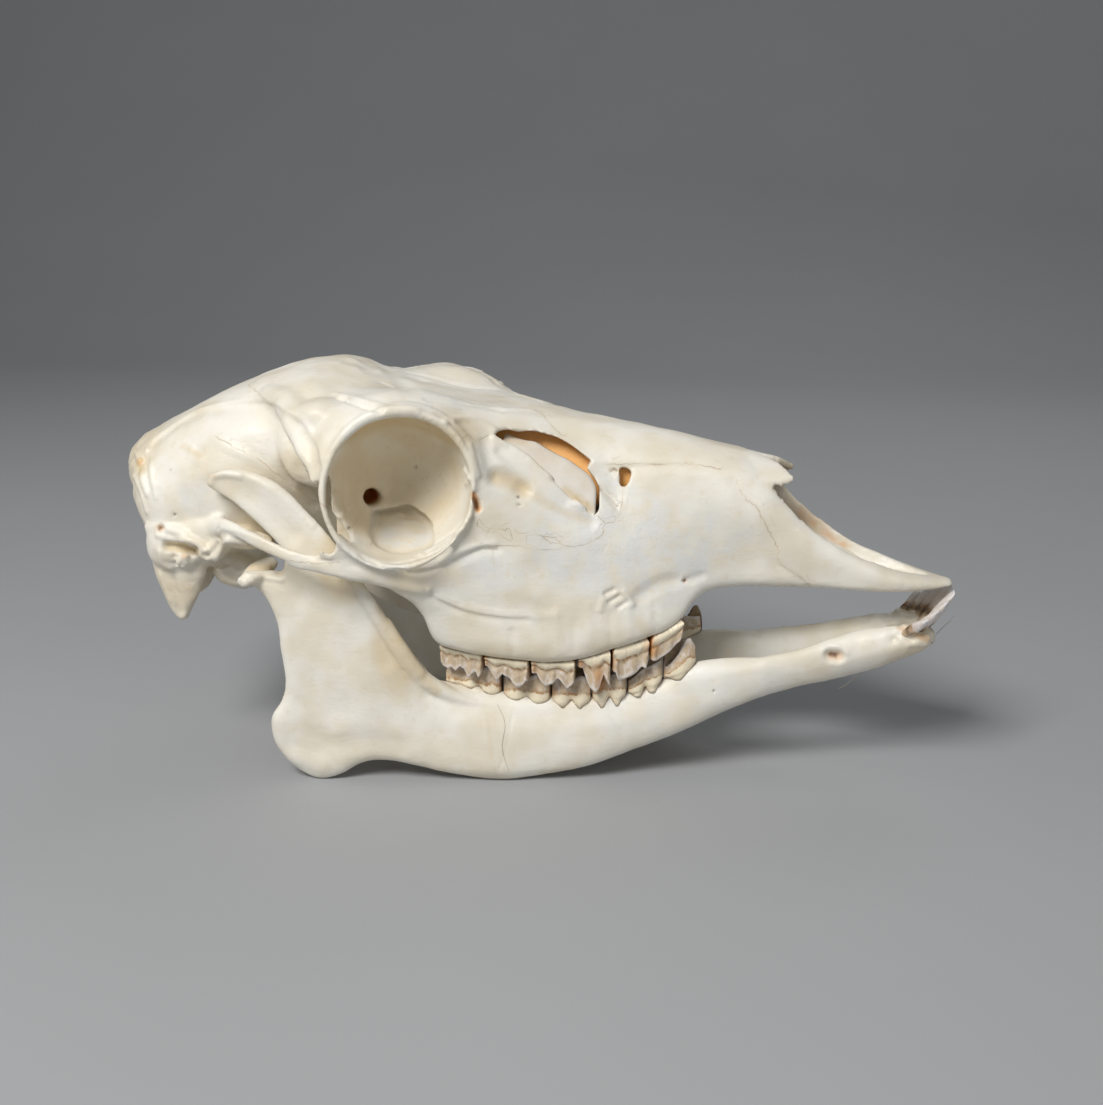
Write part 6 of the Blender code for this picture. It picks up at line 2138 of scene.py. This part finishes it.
# The outer face of each tooth row, as places along the skull and distances from its middle.
UPPER_ROW = [(-31, 31.6), (-16, 32.6), (-2, 32.5), (12, 31.2), (23, 29.2), (35, 25.4), (46, 21.2)]
LOWER_ROW = [(-30, 28), (-10, 28.5), (5, 28), (17, 26.4), (28, 24), (39, 21.2), (50, 18.8)]
UPPER_TEETH = {
    "M3": ToothSize(-30.2, -16.3, 14, 44, 42.4, ((438, 660), (442, 667), (446, 671), (450, 668),
        (454, 673), (459, 667), (463, 671), (467, 680), (471, 675), (475, 673), (478, 678), (482, 673),
        (486, 667)), 2),
    "M2": ToothSize(-15.9, -1.7, 15, 40.9, 40.3, ((487, 667), (491, 676), (496, 682), (501, 676),
        (507, 678), (512, 685), (517, 689), (521, 688), (525, 682), (529, 686), (532, 681), (535, 674)),
        2),
    "M1": ToothSize(-1.3, 12.7, 14.4, 40.4, 40.2, ((536, 674), (540, 682), (546, 688), (552, 685),
        (558, 680), (563, 686), (567, 692), (570, 688), (573, 685), (577, 690), (581, 680)), 2),
    "P4": ToothSize(13.2, 23.4, 12.6, 41.4, 43.4, ((583, 668), (586, 679), (590, 689), (596, 695),
        (600, 689), (604, 676), (607, 682), (610, 690), (613, 681), (614, 668)), 1),
    "P3": ToothSize(23.8, 34.9, 11, 44, 46.4, ((616, 672), (619, 681), (625, 680), (632, 677), (638, 674),
        (643, 669), (647, 671), (650, 662)), 1),
    "P2": ToothSize(35.2, 45, 9, 46.9, 51.8, ((652, 660), (658, 660), (664, 657), (670, 653), (676, 648),
        (682, 642), (684, 636)), 1),
}
LOWER_TEETH = {
    "M3": ToothSize(-29.6, -11.4, 8.8, 29.2, 26.2, (), 3),
    "M2": ToothSize(-11, 4.2, 9.4, 26, 25, (), 2),
    "M1": ToothSize(4.6, 16.9, 9, 25, 25.2, (), 2),
    "P4": ToothSize(17.3, 27.9, 8, 25.6, 27.4, (), 2),
    "P3": ToothSize(28.2, 38.7, 6.8, 28, 31.8, ((619, 688), (630, 682), (642, 672), (652, 668), (662, 664),
        (670, 662)), 2),
    "P2": ToothSize(38.9, 48.9, 5.6, 32.4, 36.8, ((668, 668), (674, 662), (680, 655), (684, 646),
        (688, 641), (692, 641), (696, 648), (699, 656)), 1),
}

# Orange stains of the cheek teeth: the ends of a line in picture points, reach, strength.
TOOTH_STAINS = [
    (((650, 639), (651, 650)), 3.4, 1),
    (((598, 670), (602, 686)), 2.6, 1),
    (((556, 680), (578, 680)), 1, 0.8),
    (((440, 657), (452, 660)), 1.2, 0.6),
    (((572, 684), (573, 688)), 1, 0.7),
    (((484, 652), (486, 664)), 1.2, 0.7),
    (((534, 662), (536, 674)), 1.2, 0.7),
    (((580, 660), (582, 672)), 1.2, 0.7),
    (((612, 652), (616, 668)), 1.4, 0.7),
    (((505, 690), (497, 702)), 1.6, 0.6),
    (((554, 690), (549, 702)), 1.4, 0.6),
    (((672, 664), (698, 660)), 1, 0.7),
]

# Front teeth of one side: root, tip and crown width.
FRONT_TEETH = {
    "incisor_1": ((114.6, 3, 43.8), (125.9, 3.8, 60.3), 5),
    "incisor_2": ((113.2, 5.2, 44.2), (123.6, 8.9, 58.6), 4),
    "incisor_3": ((111.5, 7, 45), (120.6, 12.6, 56.4), 3.2),
    "canine": ((109.5, 8, 46), (117.2, 15.4, 54.2), 2.6),
}

# Hairs in picture points, with their distance across the skull, or None where they lie on the jaw.
HAIRS = [
    (((497, 704), (503, 716), (505, 728), (502, 745), (505, 760), (513, 780)), None),
    (((882, 650), (875, 660), (867, 668), (857, 676), (847, 684), (838, 689)), 8),
    (((886, 648), (878, 656), (868, 664), (860, 669), (850, 671)), 8),
    (((932, 640), (940, 631), (948, 622), (955, 615)), 5),
    (((936, 634), (944, 626), (952, 621)), 5),
]


# The last rings of a cheek tooth, in over its edge: height, size, look and how chewed.
CHEWED_LEVELS = [
    (1.0, 0.92, 1.0, 0.0), (0.99, 0.86, 1.0, 1.0), (0.86, 0.66, 1.0, 1.0), (0.76, 0.42, 1.0, 1.0),
    (0.74, 0.16, 1.0, 1.0),
]


def hump(at: float, centre: float, width: float) -> float:
    """Gives a smooth hump of height 1."""
    return math.exp(-((at - centre) / width) ** 2)


@dataclass
class CheekTooth:
    """One worn cheek tooth with ribs, furrows, cusps and a chewed basin."""

    label: str
    side: Side
    upper: bool
    size: ToothSize
    points: int = 72
    bone_shade_reach: float = 0.8

    def outer_face(self, u: float, share: float) -> float:
        """Gives the place of the cheek side of the crown.

        Args:
            u: Place along the tooth, from -1 at its rear to 1 at its front.
            share: Height above the gum, 1 at the free edge.

        Returns:
            Its reach towards the cheek, 1 at its outermost.
        """
        lobes = self.size.lobes
        if self.upper:
            collar = hump(share, 0.14, 0.2) * 0.15 - hump(share, 0.42, 0.1) * 0.05
            if lobes == 2:
                ribs = max(hump(u, -0.9, 0.12), hump(u, -0.02, 0.12), hump(u, 0.88, 0.12))
                bellies = max(hump(u, -0.47, 0.2), hump(u, 0.43, 0.2))
            else:
                ribs = max(hump(u, -0.8, 0.16), hump(u, 0.8, 0.16))
                bellies = hump(u, 0.1, 0.3)
            low = min(1.0, max(0.0, (share - 0.36) / 0.2))
            return 0.88 + collar + low * (0.16 * ribs + 0.11 * bellies - 0.08)
        centres = {1: (0.0,), 2: (-0.5, 0.5), 3: (-0.74, -0.12, 0.6)}[lobes]
        reach = {1: 1.0, 2: 0.58, 3: 0.46}[lobes] * (0.6 + 0.4 * min(1.0, max(0.0, share + 0.34) * 1.9))
        best = max(math.sqrt(max(0.0, 1.0 - ((u - c) / reach) ** 2)) for c in centres)
        return 1.0 - (1.0 - best) * (0.95 - 0.5 * max(0.0, share))

    def inner_face(self, u: float) -> float:
        """Gives the place of the tongue side of the crown.

        Args:
            u: Place along the tooth, from -1 at its rear to 1 at its front.

        Returns:
            Its reach towards the cheek, -1 at its outermost.
        """
        if self.size.lobes == 1:
            return -1.0 + 0.35 * u * u
        return -1.0 + 0.45 * (1.0 - max(hump(u, -0.5, 0.3), hump(u, 0.5, 0.3)))

    def outline(self, share: float) -> list[Spot]:
        """Gives the cross outline at a height, running round from the rear end over the cheek side.

        Args:
            share: Height above the gum, 1 at the free edge.

        Returns:
            Its points, along the tooth and towards the cheek.
        """
        half = self.points // 2
        result = []
        for way, steep in ((-1, 3.4), (1, 2.0)):
            for step in range(half):
                turn = math.pi * (step + 0.5) / half
                u = way * math.cos(turn)
                reach = self.outer_face(u, share) if way < 0 else self.inner_face(u)
                result.append((u, reach * min(1.0, math.sin(turn) * steep) ** 0.6))
        return result

    def free_edge(self, outer: float) -> tuple[list[float], list[float]]:
        """Gives the free edge of the cheek side as places along the skull and heights.

        Args:
            outer: Distance of the tooth's outer face from the middle of the skull.

        Returns:
            The places, rising, and the height at each.
        """
        s = self.size
        if s.edge:
            places = [PHOTO.on_wall(spot, -outer) for spot in s.edge]
            return [p.x for p in places], [p.z for p in places]
        count = 8 * s.lobes
        along = [s.rear + (s.front - s.rear) * k / count for k in range(count + 1)]
        mean = (s.gum_rear + s.gum_front) / 2 + 8.0
        return along, [mean - 0.8 * math.cos(2 * math.pi * k / 8) for k in range(count + 1)]

    def build(self, finish: Material, bone: BVHTree) -> None:
        """Makes the tooth, dressed.

        Args:
            finish: Its enamel material.
            bone: The bone that it stands in.
        """
        s = self.size
        lanes, offsets = zip(*(UPPER_ROW if self.upper else LOWER_ROW))
        middle = (s.rear + s.front) / 2
        outer = blended(offsets, lanes, middle)
        turn = math.atan2(blended(offsets, lanes, middle + 3) - blended(offsets, lanes, middle - 3), 6.0)
        half = (s.front - s.rear) / 2 / math.cos(turn)
        slope = (s.gum_front - s.gum_rear) / (s.front - s.rear)
        gum = (s.gum_rear + s.gum_front) / 2
        edge_x, edge_z = self.free_edge(outer)
        mean = sum(edge_z) / len(edge_z) + (2.2 if self.upper else 1.2)
        shares = [-0.34, -0.26, -0.18, -0.09] + [k / 18 for k in range(18)]
        levels = []
        for share in shares:
            shrink = 0.86 + 0.12 * min(1.0, max(0.0, share + 0.1) * 7) - 0.05 * max(0.0, share - 0.6)
            levels.append((share, shrink, share, 0.0))
        levels += CHEWED_LEVELS
        rings, marks = [], []
        for share, shrink, look, chewed in levels:
            ring = []
            for u, v in self.outline(look):
                x0 = u * half * shrink
                y0 = (v * shrink - 1.0) * s.width / 2 - (0.0 if self.upper else 1.7 * max(share, 0.0) ** 1.6)
                x = middle + x0 * math.cos(turn) - y0 * math.sin(turn)
                y = outer + x0 * math.sin(turn) + y0 * math.cos(turn)
                start = gum + slope * x0
                cheek = min(1.0, max(0.0, 0.5 + v))
                rim = middle + (u * half * 0.92 if chewed else x0)
                free = blended(edge_z, edge_x, rim) * cheek + mean * (1.0 - cheek)
                ring.append(point(x, self.side.value * y, start + (free - start) * share))
                furrow_and_gap_shade = max(0.0, abs(u) - 0.93) / 0.07
                if v > 0 and not self.upper:
                    furrow_and_gap_shade = max(furrow_and_gap_shade, min(0.7, (1.0 - self.outer_face(u, look)) * 0.8))
                marks.append([max(0.0, look), min(1.0, furrow_and_gap_shade), chewed, 0.0])
            rings.append(ring)
        # The last channel is painted shade that darkens the tooth near the bone.
        for mark, place in zip(marks, (place for ring in rings for place in ring)):
            gap = bone.find_nearest(place)[3]
            mark[3] = max(0.0, 1.0 - gap / (self.bone_shade_reach * MM))
        name = f"{'upper' if self.upper else 'lower'}_{self.label}_{self.side.word}"
        made = as_object(f"{name}_enamel", skin(rings))
        store_marks(made, marks, [tooth_stain(place, outer) for ring in rings for place in ring])
        dress(made, finish, "cheek_enamel", name)


def tooth_stain(place: Vector, outer: float) -> float:
    """Gives how strongly a place on a cheek tooth is stained orange.

    Args:
        place: The place, in metres.
        outer: Distance of the tooth's outer face from the middle of the skull.

    Returns:
        The strength, 0 to 1.
    """
    spot = Vector((place.x / MM - FORWARD_SHIFT, -abs(place.y) / MM, place.z / MM))
    best = 0.0
    for path, size, strength in TOOTH_STAINS:
        ends = [PHOTO.on_wall(end, -outer) for end in path]
        nearest, share = geometry.intersect_point_line(spot, ends[0], ends[1])
        nearest = ends[0] if share < 0.0 else ends[1] if share > 1.0 else nearest
        best = max(best, strength * max(0.0, 1.0 - (spot - nearest).length / size))
    return best


def store_marks(made: Piece, marks: list[Row], stains: list[float]) -> None:
    """Writes a tooth's masks as attributes of its mesh."""
    write_values(made, "tooth", np.array(marks), "FLOAT_COLOR")
    write_values(made, "stain", np.array(stains))


@dataclass
class FrontTooth:
    """One front tooth: a thin root and a crown like a small spade."""

    label: str
    side: Side
    root: Row
    tip: Row
    width: float
    sides: int = 32
    spans: int = 4

    def build(self, finish: Material) -> None:
        """Makes the tooth, dressed.

        Args:
            finish: Its enamel material.
        """
        wide = self.width
        steps = ((0.0, 1.1, 1.1), (0.3, 1.3, 1.3), (0.44, 1.5, 1.5), (0.55, wide * 0.33, 1.6),
                 (0.68, wide * 0.46, 1.5), (0.82, wide * 0.54, 1.2), (0.93, wide * 0.52, 0.8),
                 (1.0, wide * 0.42, 0.3))
        stations = [tuple(a + (b - a) * share for a, b in zip(self.root, self.tip)) + (across, deep)
                    for share, across, deep in steps]
        made = tube(stations, self.side, sides=self.sides, spans=self.spans)
        count = (len(steps) - 1) * self.spans + 1
        marks = []
        for index in range(count):
            share = index / (count - 1)
            for step in range(self.sides):
                edge = abs(math.cos(2 * math.pi * step / self.sides))
                furrow_and_gap_shade = 0.5 * max(0.0, edge - 0.9) / 0.1 * (1.0 - share)
                # The last channel darkens a band where the tooth leaves the jaw: painted shade.
                marks.append((share, furrow_and_gap_shade, 0.0, hump(share, 0.3, 0.1)))
        name = f"lower_{self.label}_{self.side.word}"
        tooth = as_object(f"{name}_enamel", made)
        store_marks(tooth, marks, [0.0] * len(marks))
        dress(tooth, finish, "front_enamel", name)


# Hairs, light and camera.


@dataclass
class StrayHairs:
    """A few fine hairs that still cling to the jaw and front teeth."""

    radius: float = 0.05
    lift: float = 0.12

    def build(self, bone: Piece, finish: Material) -> None:
        """Makes the hairs as one piece.

        Args:
            bone: The jaw that some of them lie on.
            finish: Their material.
        """
        laid = BoneSkin(bone)
        whole = bmesh.new()
        for path, depth in HAIRS:
            if depth is None:
                line = laid.trace(path)
                places = [Vector(p + n * self.lift) for p, n in zip(line.places[::4], line.facing[::4])]
            else:
                places = [PHOTO.on_wall(spot, -depth) for spot in path]
            if len(places) < 3:
                continue
            stations = [(p.x, p.y, p.z, self.radius, self.radius) for p in places]
            gather(whole, tube(stations, None, up=(0.3, 0.9, 0.2), sides=5, spans=5))
        dress(as_object("stray_hairs", whole), finish, "jaw_bone")


@dataclass
class Studio:
    """The photograph's camera, soft lights and a plain floor that curves up into a wall."""

    half_width: float = 3.0
    front_end: float = -2.0
    wall_distance: float = 0.9
    wall_height: float = 4.0
    bend: float = 0.8
    bend_steps: int = 16
    aim: Row = (0.0, 0.0, 0.06)
    air: Row = (0.90, 0.91, 0.93, 1.0)
    air_strength: float = 0.16
    lights: tuple[tuple[str, Row, float, float, Row], ...] = (
        ("key", (-0.32, -0.80, 0.92), 0.45, 12.6, (1.0, 0.985, 0.955)),
        ("fill", (0.9, -0.9, 0.5), 0.9, 1.5, (0.98, 0.99, 1.0)),
        ("rim", (0.2, 0.8, 0.8), 0.6, 1.4, (1.0, 1.0, 1.0)),
    )

    def light(self, name: str, place: Row, size: float, power: float, colour: Row) -> None:
        """Hangs a soft square light that looks at the skull.

        Args:
            name: Its name.
            place: Its place in metres.
            size: Its side in metres.
            power: Its power in watts.
            colour: Its colour.
        """
        data = bpy.data.lights.new(name, "AREA")
        data.shape = "SQUARE"
        data.size = size
        data.energy = power
        data.color = colour
        lamp = bpy.data.objects.new(name, data)
        bpy.context.scene.collection.objects.link(lamp)
        turned = (Vector(self.aim) - Vector(place)).to_track_quat("-Z", "Y").to_matrix().to_4x4()
        lamp.matrix_world = Matrix.Translation(Vector(place)) @ turned

    def sweep(self) -> Skin:
        """Makes a floor that curves up into a wall behind the skull.

        Returns:
            Its skin.
        """
        shape = bmesh.new()
        outline = [(self.front_end, 0.0), (self.wall_distance, 0.0)]
        for step in range(1, self.bend_steps + 1):
            turn = math.pi / 2 * step / self.bend_steps
            behind = self.wall_distance + self.bend * math.sin(turn)
            outline.append((behind, self.bend * (1.0 - math.cos(turn))))
        outline.append((self.wall_distance + self.bend, self.wall_height))
        corners = [shape.verts.new((-self.half_width, y, z)) for y, z in outline]
        edges = [shape.edges.new(pair) for pair in zip(corners, corners[1:])]
        made = bmesh.ops.extrude_edge_only(shape, edges=edges)
        moved = [item for item in made["geom"] if isinstance(item, bmesh.types.BMVert)]
        bmesh.ops.translate(shape, vec=Vector((2 * self.half_width, 0.0, 0.0)), verts=moved)
        bmesh.ops.recalc_face_normals(shape, faces=shape.faces[:])
        return shape

    def build(self, floor_finish: Material) -> None:
        """Sets the floor, lights, world and camera.

        Args:
            floor_finish: The floor's material.
        """
        floor = as_object("floor", self.sweep())
        floor.data.shade_smooth()
        floor.data.materials.append(floor_finish)
        for one in self.lights:
            self.light(*one)
        world = bpy.data.worlds.new("studio")
        world.use_nodes = True
        sky = world.node_tree.nodes["Background"]
        sky.inputs["Color"].default_value = self.air
        sky.inputs["Strength"].default_value = self.air_strength
        bpy.context.scene.world = world
        bpy.context.scene.view_settings.view_transform = "Standard"
        PHOTO.build()


def main() -> None:
    """Builds every piece of the skull and the studio round it."""
    logging.basicConfig(level=logging.INFO, format="%(message)s")
    grain, seam = make_grain_group(), make_seam_group()
    Cranium().build(BoneFinish("cranium_bone").build(grain, seam))
    CheekShells().build(grain, seam)
    jaw_finish = BoneFinish("jaw_bone").build(grain, seam)
    for side in Side:
        JawHalf(side).build(jaw_finish)
    cheek = EnamelFinish("cheek_enamel").build()
    front = EnamelFinish("front_enamel", neck=(0.66, 0.52, 0.36, 1.0), crown=(0.80, 0.73, 0.68, 1.0),
                         milky=(0.86, 0.83, 0.84, 1.0), neck_end=0.4).build()
    skull = BoneSkin(bpy.data.objects["skull_bone"]).tree
    for side in Side:
        jaw = BoneSkin(bpy.data.objects[f"jaw_bone_{side.word}"]).tree
        for table, upper in ((UPPER_TEETH, True), (LOWER_TEETH, False)):
            for label, size in table.items():
                CheekTooth(label, side, upper, size).build(cheek, skull if upper else jaw)
        for label, (root, tip, width) in FRONT_TEETH.items():
            FrontTooth(label, side, root, tip, width).build(front)
    hair = PlainFinish("hair", (0.34, 0.28, 0.21, 1.0), (0.46, 0.40, 0.32, 1.0), 900.0, 0.5).build()
    StrayHairs().build(bpy.data.objects["jaw_bone_right"], hair)
    Studio().build(PlainFinish("floor", (0.38, 0.39, 0.405, 1.0), (0.41, 0.42, 0.435, 1.0), 6.0, 0.8).build())
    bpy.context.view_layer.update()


if __name__ == "__main__":
    main()
